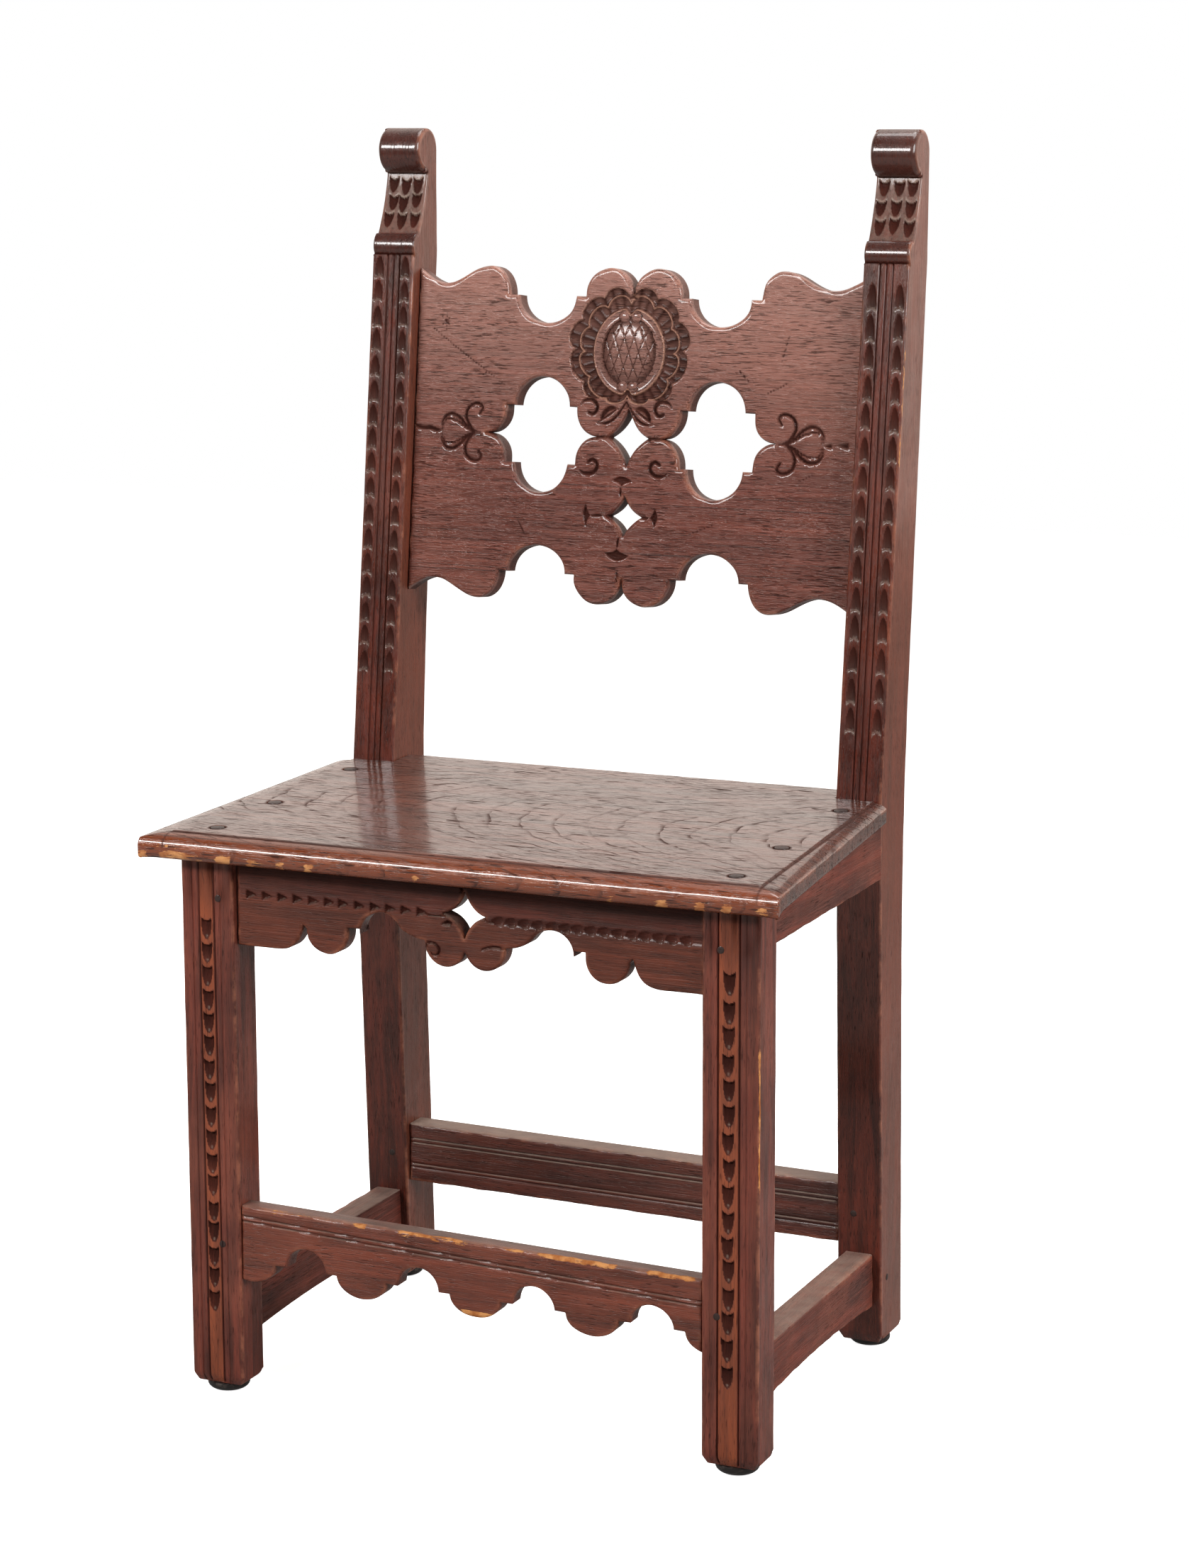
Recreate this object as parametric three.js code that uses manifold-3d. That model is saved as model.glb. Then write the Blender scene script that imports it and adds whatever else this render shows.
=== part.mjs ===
// Hall chair with a pierced board back, joined with pegged mortise-and-tenon joints
// Millimetres, X to the right, Y to the back, Z up
import * as THREE from 'three';
import { mergeVertices } from 'three/addons/utils/BufferGeometryUtils.js';
import Module from 'manifold-3d';

const wasm = await Module();
wasm.setup();

// Whole chair
const chair_height = 994;
const seat_height = 470; // top of the seat at the front faces of the posts
const seat_fall = 11; // how much lower the seat is at the front faces of the legs
const frame_depth = 281; // front faces of the legs to front faces of the posts, at the seat
const joint_gap = 0.3; // clearance between pieces that touch
const overrun = 2; // how far a cut runs past the surface that it opens
const weld_distance = 0.0001; // corners nearer than this are one corner
const curve_steps = 8;
const arc_steps = 12;

// Front legs
const leg_spread = 484; // over the outer sides
const leg_width = 45.5;
const leg_depth = 35;
const leg_band_share = 0.36; // flat band in the middle of the front
const leg_bead_share = 0.13; // half-round bead on each side of the band
const leg_quirk_depth = 2.4;
const foot_chamfer = 3;

// Rear posts
const post_inset = 6; // outer side of a post from the outer side of a leg
const post_width = 38;
const foot_splay = 30; // how far the feet stand back from the posts' faces at the seat
const lean_angle = 5.937; // of the back, in degrees
const post_foot_depth = 51;
const post_seat_depth = 56;
const post_shaft_depth = 46;
const knee_drop = 25; // the bend of the rear edge lies this far below the seat
const knee_share = 0.3; // stretch of the rear edge that the bend takes, up and down
const reed_share = 0.105; // each of the two reeds, of the post's width
const reed_quirk_width = 1.5;
const reed_quirk_depth = 1.8;

// Scrolled top of a post
const scroll_radius = 18.5;
const ovolo_height = 13;
const ovolo_bulge = 2;
const neck_height = 51;
const neck_foot_recess = 8; // from the shaft's front plane to the foot of the hollow neck
const neck_sag_share = 0.75; // how far back the neck already lies at its middle

// Seat board
const seat_thickness = 18;
const seat_nose = 20.5; // overhang in front of the legs
const seat_tongue = 31; // the part between the posts, behind their front faces
const seat_sides = { // overhang past the legs and posts, and width of the sunk moulding, as cut by hand
  left: { front: 28, rear: 17, front_mould: 22, rear_mould: 17 },
  right: { front: 21, rear: 5, front_mould: 17, rear_mould: 9 },
};
const nose_radius = 8;
const nose_mould = 14; // width of the moulding along the front
const mould_quirk = 2;
const mould_sink = 6;

// Seat pegs
const seat_peg_radius = 6;
const seat_peg_inset = 25; // from the outer side of the leg
const seat_peg_depth = 20; // below the board
const seat_peg_front = 13; // from the front faces of the legs
const seat_peg_rear = 41; // from the front faces of the posts
const seat_peg_middle_share = 0.38; // of the frame's depth

// Back board
const board_thickness = 18;
const board_setback = 13;
const board_top_gap = 9; // from the shaft's top down to the board
const board_height_share = 0.6465; // of the shaft's length
const board_tongue_length = 14;
const board_tongue_thickness = 9;
const board_tongue_inset = 12; // from the board's top and bottom
const ease_share = 0.42; // how far the waves run flat beside their crests

// The board's outline: places across are shares of its half width, levels are shares of its half height
const outline_across = { lobe: 0.221, notch: [0.264, 0.525], outer: 0.568, crest: 0.657, dip: 0.87 };
const outline_level = { lobe: 0.842, step: 0.829, notch: 0.665, dip: 0.891, end: 0.975 };
const hole_across = { tip: 0.146, lobe: 0.24, arch: [0.275, 0.52], scroll: 0.561, end: 0.653 };
const hole_level = { lobe: 0.16, step: 0.171, arch: 0.346, scroll: 0.138 };
const upper_star = { across: 0.095, up: 0.167, level: 0, hollow: 0.3 };
const lower_star = { across: 0.082, up: 0.116, level: -0.468, hollow: 0.3 };

// Apron under the seat
const apron_height = 72;
const apron_thickness = 16;
const apron_setback = 5;

// The apron's lower edge: shares of its half width and of its height
const apron_scroll = { across: 0.0877, up: 0.239, overlap: 0.003 };
const apron_arch = { middle: 0.3645, across: 0.0948, up: 0.258, start_turn: 0.86, foot: 0.268 };
const apron_step = { level: 0.315, end: 0.507 };
const apron_lobe = { across: 0.0917, up: 0.25 };
const apron_cusp = { across: 0.704, level: 0.292 };
const apron_bracket_end = 0.841;
const apron_star = { across: 0.092, up: 0.25, level: 0.583, hollow: 0.21 };

// Side and rear seat rails
const side_rail_thickness = 28;
const side_rail_inset = 5; // outer face from the outer side of the leg
const side_rail_front_height = 39;
const side_rail_rear_height = 46;
const rear_rail_thickness = 22;
const rear_rail_height = 45;
const rear_rail_setback = 9;

// Front stretcher
const front_stretcher_top = 154;
const front_stretcher_height = 58;
const front_stretcher_thickness = 18;
const front_stretcher_setback = 2;
const scallop_count = 4;
const scallop_across = { shift: 0.081, half_arch: 0.18, step: 0.094 }; // of the pitch; the row is off centre
const scallop_up = { arch: 0.285, lobe: 0.259 }; // of the stretcher's height
const front_bead_drop = 13; // from the top edge to the bead's upper quirk

// Side stretchers
const side_stretcher_top = 86;
const side_stretcher_height = 46;
const side_stretcher_thickness = 24;
const side_stretcher_inset = 13; // outer face from the outer side of the leg
const side_stretcher_hollow = 6; // rise of the lower edge at its middle

// Rear stretcher
const rear_stretcher_top = 145;
const rear_stretcher_height = 51;
const rear_stretcher_thickness = 24;
const rear_stretcher_setback = 5;
const rear_bead_shares = [0.28, 0.72]; // of the stretcher's height

// Run mouldings on the stretchers
const bead_width = 3.4;
const quirk_width = 1.8;
const quirk_depth = 1.5;

// Tenons and pegs
const tenon_thickness = 8;
const tenon_length = 26;
const tenon_shoulder = 5; // above and below a tenon
const rail_tenon_length = 24;
const rail_tenon_side = 2.5; // from the rail's outer face
const apron_tenon_length = 22;
const apron_tenon_drop = 22; // from the apron's top, which clears the seat pegs
const apron_tenon_height = 38;
const joint_peg_radius = 3;
const joint_peg_length = 27;
const apron_peg_drop = 35; // from the apron's top
const joint_peg_inset = 14; // from the leg's inner side

// Glides
const glide_height = 8;
const glide_radius = 17;
const glide_rest_radius = 9; // flat worn on the dome
const glide_rim_height = 2.5;
const glide_pin_radius = 2;
const glide_pin_length = 24;

// Colours of the wood and the glides
const wood_colour = 0x5a2d26;
const seat_colour = 0x6b4238;
const peg_colour = 0x3a201b;
const glide_colour = 0x1d1a18;
const wood_roughness = 0.45;
const glide_roughness = 0.35;

// Places worked out from the sizes above
const degree = 180 / Math.PI;
const leg_outer = leg_spread / 2;
const leg_inner = leg_outer - leg_width;
const post_outer = leg_outer - post_inset;
const post_inner = post_outer - post_width;
const lean_slope = Math.tan(lean_angle / degree);
const splay_slope = foot_splay / seat_height;
const seat_slope = seat_fall / frame_depth;
const seat_angle = Math.atan(seat_slope) * degree;
const shaft_height = chair_height - seat_height - ovolo_height - neck_height - scroll_radius * 2;
const shaft_length = shaft_height * Math.hypot(1, lean_slope);
const board_half_height = (shaft_length * board_height_share) / 2;
const board_middle = shaft_length - board_top_gap - board_half_height;
const board_half_width = post_inner - joint_gap;
const apron_half_width = leg_inner - joint_gap;
const seat_reach = leg_spread; // more than half the seat's width, for cuts across it
const seat_peg_x = leg_outer - seat_peg_inset;
const seat_peg_rows = {
  front: seat_peg_front,
  middle: frame_depth * seat_peg_middle_share,
  rear: frame_depth - seat_peg_rear,
};
const scallop_pitch = (apron_half_width * 2) / scallop_count;

function post_face(z) {
  if (z < seat_height) return frame_depth + (seat_height - z) * splay_slope;
  return frame_depth + (z - seat_height) * lean_slope;
}

function seat_underside(y) {
  return seat_height - (frame_depth - y) * seat_slope - seat_thickness / Math.cos(seat_angle / degree);
}

// Solids from three.js geometry
function solid(geometry) {
  geometry.deleteAttribute('normal');
  geometry.deleteAttribute('uv');
  const welded = mergeVertices(geometry, weld_distance);
  return new wasm.Manifold(new wasm.Mesh({
    numProp: 3,
    vertProperties: new Float32Array(welded.attributes.position.array),
    triVerts: new Uint32Array(welded.index.array),
  }));
}

function extrude(shape, length) {
  return new THREE.ExtrudeGeometry(shape, { depth: length, bevelEnabled: false, curveSegments: arc_steps });
}

// A plan outline (x, y) raised from z0 to z1
function from_plan(shape, z0, z1) {
  return solid(extrude(shape, z1 - z0).translate(0, 0, z0));
}

// A front outline (x, z) that runs from y0 to y1
function from_front(shape, y0, y1) {
  return solid(extrude(shape, y1 - y0).rotateX(Math.PI / 2).translate(0, y1, 0));
}

// A side outline (y, z) that runs from x0 to x1
function from_side(shape, x0, x1) {
  const turn = new THREE.Matrix4().makeBasis(
    new THREE.Vector3(0, 1, 0),
    new THREE.Vector3(0, 0, 1),
    new THREE.Vector3(1, 0, 0),
  );
  return solid(extrude(shape, x1 - x0).applyMatrix4(turn).translate(x0, 0, 0));
}

function block(x0, x1, y0, y1, z0, z1) {
  const box = new THREE.BoxGeometry(x1 - x0, y1 - y0, z1 - z0);
  return solid(box.translate((x0 + x1) / 2, (y0 + y1) / 2, (z0 + z1) / 2));
}

// The mortise for a tenon that is a block: the same block with clearance all round
function mortise([x0, x1, y0, y1, z0, z1]) {
  const g = joint_gap;
  return block(x0 - g, x1 + g, y0 - g, y1 + g, z0 - g, z1 + g);
}

function outline(points) {
  return new THREE.Shape(points.map(([a, b]) => new THREE.Vector2(a, b)));
}

function add(...pieces) {
  return pieces.reduce((sum, piece) => sum.add(piece));
}

function cut(body, ...tools) {
  return tools.reduce((rest, tool) => rest.subtract(tool), body);
}

// A round rod along Z
function rod(radius, z0, z1) {
  const profile = [[0, z0], [radius, z0], [radius, z1], [0, z1]].map(([r, z]) => new THREE.Vector2(r, z));
  return solid(new THREE.LatheGeometry(profile, arc_steps).rotateX(Math.PI / 2));
}

// Frames that lean: the back above the seat, and the seat itself
function lean(piece) {
  return piece.rotate([-lean_angle, 0, 0]).translate([0, frame_depth, seat_height]);
}

function tilt(piece) {
  return piece.rotate([seat_angle, 0, 0]).translate([0, frame_depth, seat_height]);
}

// Everything above the underside of the seat board, which the frame under it is cut by
function above_frame() {
  const reach = seat_reach;
  return tilt(block(-reach, reach, -frame_depth - reach, reach, -seat_thickness - joint_gap, seat_height));
}

// The V-shaped section of a quirk: across from -width / 2 to width / 2, and depth deep from a face at 0
function quirk_section(width, depth) {
  const mouth = (width / 2) * (1 + overrun / depth);
  return [[-mouth, -overrun], [mouth, -overrun], [0, depth]];
}

// A quirk along X on a front face at y, centred on z
function quirk(y, z, reach) {
  const points = quirk_section(quirk_width, quirk_depth);
  return from_side(outline(points.map(([across, deep]) => [y + deep, z - across])), -reach, reach);
}

// A bead between two quirks, run along X on a front face and centred on z
function bead_cuts(y, z, reach) {
  const offset = (bead_width + quirk_width) / 2;
  return [quirk(y, z - offset, reach), quirk(y, z + offset, reach)];
}

// Wedges that take off the four lower edges of a foot, twice as high as they are wide
function foot_cuts(x0, x1, y0, y1) {
  const c = foot_chamfer;
  const low = glide_height - c * 2;
  const high = glide_height + c * 4;
  const wedge = (edge, side) => outline([
    [edge + side * c * 2, low],
    [edge - side * c, high],
    [edge - side * c, low],
  ]);
  return [
    from_side(wedge(y0, 1), x0 - overrun, x1 + overrun),
    from_side(wedge(y1, -1), x0 - overrun, x1 + overrun),
    from_front(wedge(x0, 1), y0 - overrun, y1 + overrun),
    from_front(wedge(x1, -1), y0 - overrun, y1 + overrun),
  ];
}

// Tenons, each as the block [x0, x1, y0, y1, z0, z1] on the right-hand side
const apron_top = seat_underside(apron_setback) - joint_gap;
const apron_middle_y = apron_setback + apron_thickness / 2;
const apron_tenon = [
  leg_inner - joint_gap, leg_inner + apron_tenon_length,
  apron_middle_y - tenon_thickness / 2, apron_middle_y + tenon_thickness / 2,
  apron_top - apron_tenon_drop - apron_tenon_height, apron_top - apron_tenon_drop,
];

const front_stretcher_bottom = front_stretcher_top - front_stretcher_height;
const front_stretcher_middle_y = front_stretcher_setback + front_stretcher_thickness / 2;
const front_stretcher_tenon = [
  leg_inner - joint_gap, leg_inner + tenon_length,
  front_stretcher_middle_y - tenon_thickness / 2, front_stretcher_middle_y + tenon_thickness / 2,
  front_stretcher_bottom + front_stretcher_height * scallop_up.lobe, front_stretcher_top - tenon_shoulder,
];

const side_rail_outer = leg_outer - side_rail_inset;
const side_rail_inner = side_rail_outer - side_rail_thickness;
const side_rail_top = seat_underside(leg_depth) - joint_gap;
const side_rail_bottom = side_rail_top - side_rail_front_height;
const side_rail_tenon_x = side_rail_outer - rail_tenon_side - tenon_thickness;
const side_rail_tenon = [
  side_rail_tenon_x, side_rail_tenon_x + tenon_thickness,
  leg_depth - rail_tenon_length, post_face(side_rail_top) + rail_tenon_length,
  side_rail_bottom + tenon_shoulder, side_rail_top - tenon_shoulder,
];

const side_stretcher_bottom = side_stretcher_top - side_stretcher_height;
const side_stretcher_outer = leg_outer - side_stretcher_inset;
const side_stretcher_inner = side_stretcher_outer - side_stretcher_thickness;
const side_stretcher_middle_x = (side_stretcher_outer + side_stretcher_inner) / 2;
const side_stretcher_middle_z = (side_stretcher_top + side_stretcher_bottom) / 2;
const side_stretcher_tenon = [
  side_stretcher_middle_x - tenon_thickness / 2, side_stretcher_middle_x + tenon_thickness / 2,
  leg_depth - tenon_length, post_face(side_stretcher_middle_z) + tenon_length,
  side_stretcher_bottom + tenon_shoulder, side_stretcher_top - tenon_shoulder,
];

const rear_stretcher_bottom = rear_stretcher_top - rear_stretcher_height;
const rear_stretcher_middle_z = (rear_stretcher_top + rear_stretcher_bottom) / 2;
const rear_stretcher_front = post_face(rear_stretcher_middle_z) + rear_stretcher_setback;
const rear_stretcher_middle_y = rear_stretcher_front + rear_stretcher_thickness / 2;
const rear_stretcher_tenon = [
  post_inner - joint_gap, post_inner + tenon_length,
  rear_stretcher_middle_y - tenon_thickness / 2, rear_stretcher_middle_y + tenon_thickness / 2,
  rear_stretcher_bottom + tenon_shoulder, rear_stretcher_top - tenon_shoulder,
];

const rear_rail_front = frame_depth + rear_rail_setback;
const rear_rail_top = seat_underside(rear_rail_front) - joint_gap;
const rear_rail_tenon_y = rear_rail_front + rear_rail_thickness - tenon_thickness;
const rear_rail_tenon = [
  post_inner - joint_gap, post_inner + rail_tenon_length,
  rear_rail_tenon_y, rear_rail_tenon_y + tenon_thickness,
  rear_rail_top - rear_rail_height + tenon_shoulder, rear_rail_top - tenon_shoulder,
];

// Tongue of the back board, in the leaning frame of the back
const board_tongue_y = board_setback + (board_thickness - board_tongue_thickness) / 2;
const board_tongue = [
  post_inner - joint_gap, post_inner + board_tongue_length,
  board_tongue_y, board_tongue_y + board_tongue_thickness,
  board_middle - board_half_height + board_tongue_inset,
  board_middle + board_half_height - board_tongue_inset,
];

function mirrored([x0, x1, ...rest]) {
  return [-x1, -x0, ...rest];
}

// Pegs that pin the joints: along Y from a front face, or along X from the outer side
const joint_peg_x = leg_inner + joint_peg_inset;
const front_pegs = {
  apron: { x: joint_peg_x, y: 0, z: apron_top - apron_peg_drop },
  front_stretcher: { x: joint_peg_x, y: 0, z: front_stretcher_bottom + front_stretcher_height / 2 },
  rear_stretcher: {
    x: post_inner + joint_peg_inset,
    y: post_face(rear_stretcher_middle_z),
    z: rear_stretcher_middle_z,
  },
};

function front_peg_form({ x, y, z }, clearance) {
  const start = y - overrun * (clearance > 0 ? 1 : 0);
  const length = joint_peg_length + clearance;
  const peg = rod(joint_peg_radius + clearance, 0, y + length - start);
  return peg.rotate([-90, 0, 0]).translate([x, start, z]);
}

const side_peg_y = post_face(side_stretcher_middle_z) + joint_peg_inset;

function side_peg_form(clearance) {
  const start = post_outer + overrun * (clearance > 0 ? 1 : 0);
  const end = side_stretcher_inner;
  return rod(joint_peg_radius + clearance, 0, start - end + clearance)
    .rotate([0, -90, 0])
    .translate([start, side_peg_y, side_stretcher_middle_z]);
}

function seat_peg_form(y, clearance) {
  const bottom = -seat_thickness - seat_peg_depth - clearance;
  const top = clearance > 0 ? overrun : 0;
  const peg = rod(seat_peg_radius + clearance, bottom, top);
  return tilt(peg.translate([seat_peg_x, y - frame_depth, 0]));
}

function all_seat_pegs(clearance) {
  return add(...Object.values(seat_peg_rows).map((y) => seat_peg_form(y, clearance)));
}

// Glides: a steel dome with its pin, driven into the end of the leg
const leg_foot = { x: (leg_inner + leg_outer) / 2, y: leg_depth / 2 };
const post_foot = { x: (post_inner + post_outer) / 2, y: post_face(glide_height) + post_foot_depth / 2 };

function glide({ x, y }) {
  const seat_z = glide_height - joint_gap;
  const profile = [new THREE.Vector2(0, 0), new THREE.Vector2(glide_rest_radius, 0)];
  for (let i = 1; i <= curve_steps / 2; i += 1) {
    const angle = (i / (curve_steps / 2)) * (Math.PI / 2);
    profile.push(new THREE.Vector2(
      glide_rest_radius + (glide_radius - glide_rest_radius) * Math.sin(angle),
      (seat_z - glide_rim_height) * (1 - Math.cos(angle)),
    ));
  }
  profile.push(new THREE.Vector2(glide_radius, seat_z));
  profile.push(new THREE.Vector2(glide_pin_radius, seat_z));
  profile.push(new THREE.Vector2(glide_pin_radius, seat_z + glide_pin_length - glide_pin_radius));
  profile.push(new THREE.Vector2(0, seat_z + glide_pin_length));
  return solid(new THREE.LatheGeometry(profile, arc_steps * 2).rotateX(Math.PI / 2)).translate([x, y, 0]);
}

function glide_hole({ x, y }) {
  const end = glide_height + glide_pin_length + joint_gap;
  return rod(glide_pin_radius + joint_gap, glide_height - overrun, end).translate([x, y, 0]);
}

// Front leg, right-hand side
function leg_section() {
  const band = leg_width * leg_band_share;
  const bead = leg_width * leg_bead_share;
  const quirk_half = leg_quirk_depth / 2;
  const half = [];
  half.push([band / 2, 0], [band / 2 + quirk_half, leg_quirk_depth]);
  for (let i = 0; i <= curve_steps / 2; i += 1) {
    const angle = Math.PI * (i / (curve_steps / 2));
    const x = band / 2 + leg_quirk_depth + (bead / 2) * (1 - Math.cos(angle));
    half.push([x, leg_quirk_depth * (1 - Math.sin(angle)) * leg_bead_share * 2]);
  }
  const strip = band / 2 + leg_quirk_depth + bead;
  half.push([strip + quirk_half / 2, leg_quirk_depth / 2], [strip + quirk_half, 0], [leg_width / 2, 0]);
  const left = half.map(([x, y]) => [-x, y]).reverse();
  const rear = [[leg_width / 2, leg_depth], [-leg_width / 2, leg_depth]];
  const middle = leg_inner + leg_width / 2;
  return outline([...left, ...half, ...rear].map(([x, y]) => [middle + x, y]));
}

function front_leg() {
  return cut(
    from_plan(leg_section(), glide_height, seat_height),
    above_frame(),
    ...foot_cuts(leg_inner, leg_outer, 0, leg_depth),
    mortise(apron_tenon),
    mortise(front_stretcher_tenon),
    mortise(side_rail_tenon),
    mortise(side_stretcher_tenon),
    front_peg_form(front_pegs.apron, joint_gap),
    front_peg_form(front_pegs.front_stretcher, joint_gap),
    all_seat_pegs(joint_gap),
    glide_hole(leg_foot),
  );
}

// Rear post: one sawn plank edge from the foot to the scroll, right-hand side
function post_outline() {
  const shaft_top = seat_height + shaft_height;
  const scroll_z = chair_height - scroll_radius;
  const scroll_y = post_face(scroll_z) + scroll_radius;
  const neck_z = shaft_top + ovolo_height;
  const neck_y = post_face(neck_z) + neck_foot_recess;
  const shape = new THREE.Shape();
  shape.moveTo(post_face(glide_height), glide_height);
  shape.lineTo(frame_depth, seat_height);
  shape.lineTo(post_face(shaft_top), shaft_top);
  shape.lineTo(post_face(shaft_top) + ovolo_bulge, shaft_top);
  shape.bezierCurveTo(
    post_face(shaft_top) - ovolo_bulge, shaft_top + ovolo_height * ease_share / 2,
    post_face(neck_z) - ovolo_bulge, neck_z - ovolo_height * ease_share / 2,
    post_face(neck_z) + ovolo_bulge * 2, neck_z,
  );
  shape.lineTo(neck_y, neck_z);
  const neck_top = scroll_z - scroll_radius;
  const sag_y = neck_y + (scroll_y - neck_y) * neck_sag_share;
  shape.quadraticCurveTo(sag_y, (neck_z + neck_top) / 2, scroll_y, neck_top);
  shape.absarc(scroll_y, scroll_z, scroll_radius, -Math.PI / 2, -2 * Math.PI, true);
  const rear_shaft = post_face(shaft_top) + post_shaft_depth;
  const knee_z = seat_height - knee_drop;
  const knee_y = frame_depth + post_seat_depth;
  shape.quadraticCurveTo(scroll_y + scroll_radius, (scroll_z + shaft_top) / 2, rear_shaft, shaft_top);
  const up = shaft_height * knee_share;
  shape.lineTo(knee_y + (rear_shaft - knee_y) * knee_share, knee_z + up);
  const foot_y = post_face(glide_height) + post_foot_depth;
  const down = (knee_z - glide_height) * knee_share;
  shape.quadraticCurveTo(knee_y, knee_z, knee_y + (foot_y - knee_y) * knee_share, knee_z - down);
  shape.lineTo(foot_y, glide_height);
  return shape;
}

// The two reeds run between three quirks, up the middle of the shaft
function reed_cuts() {
  const reed = post_width * reed_share;
  const middle = (post_inner + post_outer) / 2;
  const section = quirk_section(reed_quirk_width, reed_quirk_depth);
  return [-1, 0, 1].map((place) => {
    const x = middle + place * (reed + reed_quirk_width);
    const shape = outline(section.map(([across, deep]) => [x + across, deep]));
    return lean(from_plan(shape, -seat_thickness / 2, shaft_length + overrun));
  });
}

function rear_post() {
  const front = post_face(glide_height);
  return cut(
    from_side(post_outline(), post_inner, post_outer),
    ...foot_cuts(post_inner, post_outer, front, front + post_foot_depth),
    ...reed_cuts(),
    mortise(side_rail_tenon),
    mortise(side_stretcher_tenon),
    mortise(rear_stretcher_tenon),
    mortise(rear_rail_tenon),
    lean(mortise(board_tongue)),
    front_peg_form(front_pegs.rear_stretcher, joint_gap),
    side_peg_form(joint_gap),
    glide_hole(post_foot),
  );
}

// Back board: a quarter of its outline is drawn, then mirrored both ways
function board_quarter() {
  const w = board_half_width;
  const h = board_half_height;
  const lobe = (w * outline_across.lobe) / 2;
  const lobe_level = h * outline_level.lobe;
  const step = h * outline_level.step;
  const [notch_start, notch_end] = outline_across.notch.map((share) => w * share);
  const notch = (notch_end - notch_start) / 2;
  const outer = w * outline_across.outer;
  const crest = w * outline_across.crest;
  const dip = w * outline_across.dip;
  const dip_level = h * outline_level.dip;
  const ease = (dip - crest) * ease_share;
  const path = new THREE.Path();
  path.moveTo(0, lobe_level);
  path.absellipse(lobe, lobe_level, lobe, h - lobe_level, Math.PI, 0, true);
  path.lineTo(lobe * 2, step);
  path.lineTo(notch_start, step);
  const notch_drop = step - h * outline_level.notch;
  path.absellipse(notch_start + notch, step, notch, notch_drop, Math.PI, 2 * Math.PI, false);
  path.lineTo(outer, step);
  path.absellipse(crest, step, crest - outer, h - step, Math.PI, Math.PI / 2, true);
  path.bezierCurveTo(crest + ease, h, dip - ease, dip_level, dip, dip_level);
  path.quadraticCurveTo(dip + (w - dip) * ease_share, dip_level, w, h * outline_level.end);
  return path.getPoints(arc_steps);
}

function distinct(points) {
  return points.filter((p, i) => p.distanceTo(points[(i + 1) % points.length]) > weld_distance);
}

function board_outline() {
  const upper_right = board_quarter();
  const upper_left = upper_right.map((p) => new THREE.Vector2(-p.x, p.y)).reverse();
  const upper = [...upper_left, ...upper_right];
  const lower = upper.map((p) => new THREE.Vector2(p.x, -p.y)).reverse();
  return new THREE.Shape(distinct([...upper, ...lower]));
}

// One large hole, between the centre lobes and the outer scrolls
function board_hole() {
  const w = board_half_width;
  const h = board_half_height;
  const tip = w * hole_across.tip;
  const lobe = w * hole_across.lobe;
  const lobe_height = h * hole_level.lobe;
  const step = h * hole_level.step;
  const [arch_start, arch_end] = hole_across.arch.map((share) => w * share);
  const arch = (arch_end - arch_start) / 2;
  const scroll = w * hole_across.scroll;
  const end = w * hole_across.end;
  const scroll_height = h * hole_level.scroll;
  const path = new THREE.Path();
  path.moveTo(tip, 0);
  path.absellipse(tip, lobe_height, lobe - tip, lobe_height, -Math.PI / 2, 0, false);
  path.lineTo(lobe, step);
  path.lineTo(arch_start, step);
  path.absellipse(arch_start + arch, step, arch, h * hole_level.arch - step, Math.PI, 0, true);
  path.lineTo(scroll, step);
  path.absellipse(end, scroll_height, end - scroll, scroll_height, Math.PI, Math.PI * 1.5, false);
  const upper = path.getPoints(curve_steps);
  const lower = upper.map((p) => new THREE.Vector2(p.x, -p.y)).reverse();
  return new THREE.Shape(distinct([...upper, ...lower]));
}

// A four-pointed star with hollow sides, sized as shares of the board that it pierces
function star({ across, up, level, hollow }, board_width, board_height) {
  const x = board_width * across;
  const y = board_height * up;
  const middle = board_height * level;
  const corners = [[x, 0], [0, y], [-x, 0], [0, -y], [x, 0]];
  const shape = new THREE.Shape();
  shape.moveTo(x, middle);
  corners.slice(1).forEach(([next_x, next_y], i) => {
    const [last_x, last_y] = corners[i];
    const pull_y = middle + (last_y + next_y) * hollow;
    shape.quadraticCurveTo((last_x + next_x) * hollow, pull_y, next_x, middle + next_y);
  });
  return new THREE.Shape(distinct(shape.getPoints(curve_steps)));
}

function back_board() {
  const front = board_setback;
  const rear = board_setback + board_thickness;
  const through = [front - overrun, rear + overrun];
  const hole = from_front(board_hole(), ...through);
  const board = cut(
    from_front(board_outline(), front, rear),
    hole,
    hole.mirror([1, 0, 0]),
    from_front(star(upper_star, board_half_width, board_half_height), ...through),
    from_front(star(lower_star, board_half_width, board_half_height), ...through),
  );
  const raised = board.translate([0, 0, board_middle]);
  const [x0, x1, ...rest] = board_tongue;
  const reach = x0 - overrun;
  return lean(add(raised, block(reach, x1, ...rest), block(-x1, -reach, ...rest)));
}

// Seat board, level in its own frame with its origin between the posts' front faces
function seat_profile() {
  const nose = -frame_depth - seat_nose;
  const lower = nose_radius / 2;
  const shape = new THREE.Shape();
  shape.moveTo(seat_tongue, -seat_thickness);
  shape.lineTo(seat_tongue, 0);
  shape.lineTo(nose + nose_mould, 0);
  shape.lineTo(nose + nose_mould - mould_quirk / 2, -mould_quirk);
  shape.quadraticCurveTo(nose, -mould_quirk / 2, nose, -nose_radius);
  shape.absarc(nose + lower, -seat_thickness + lower, lower, Math.PI, Math.PI * 1.5, false);
  return shape;
}

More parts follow.
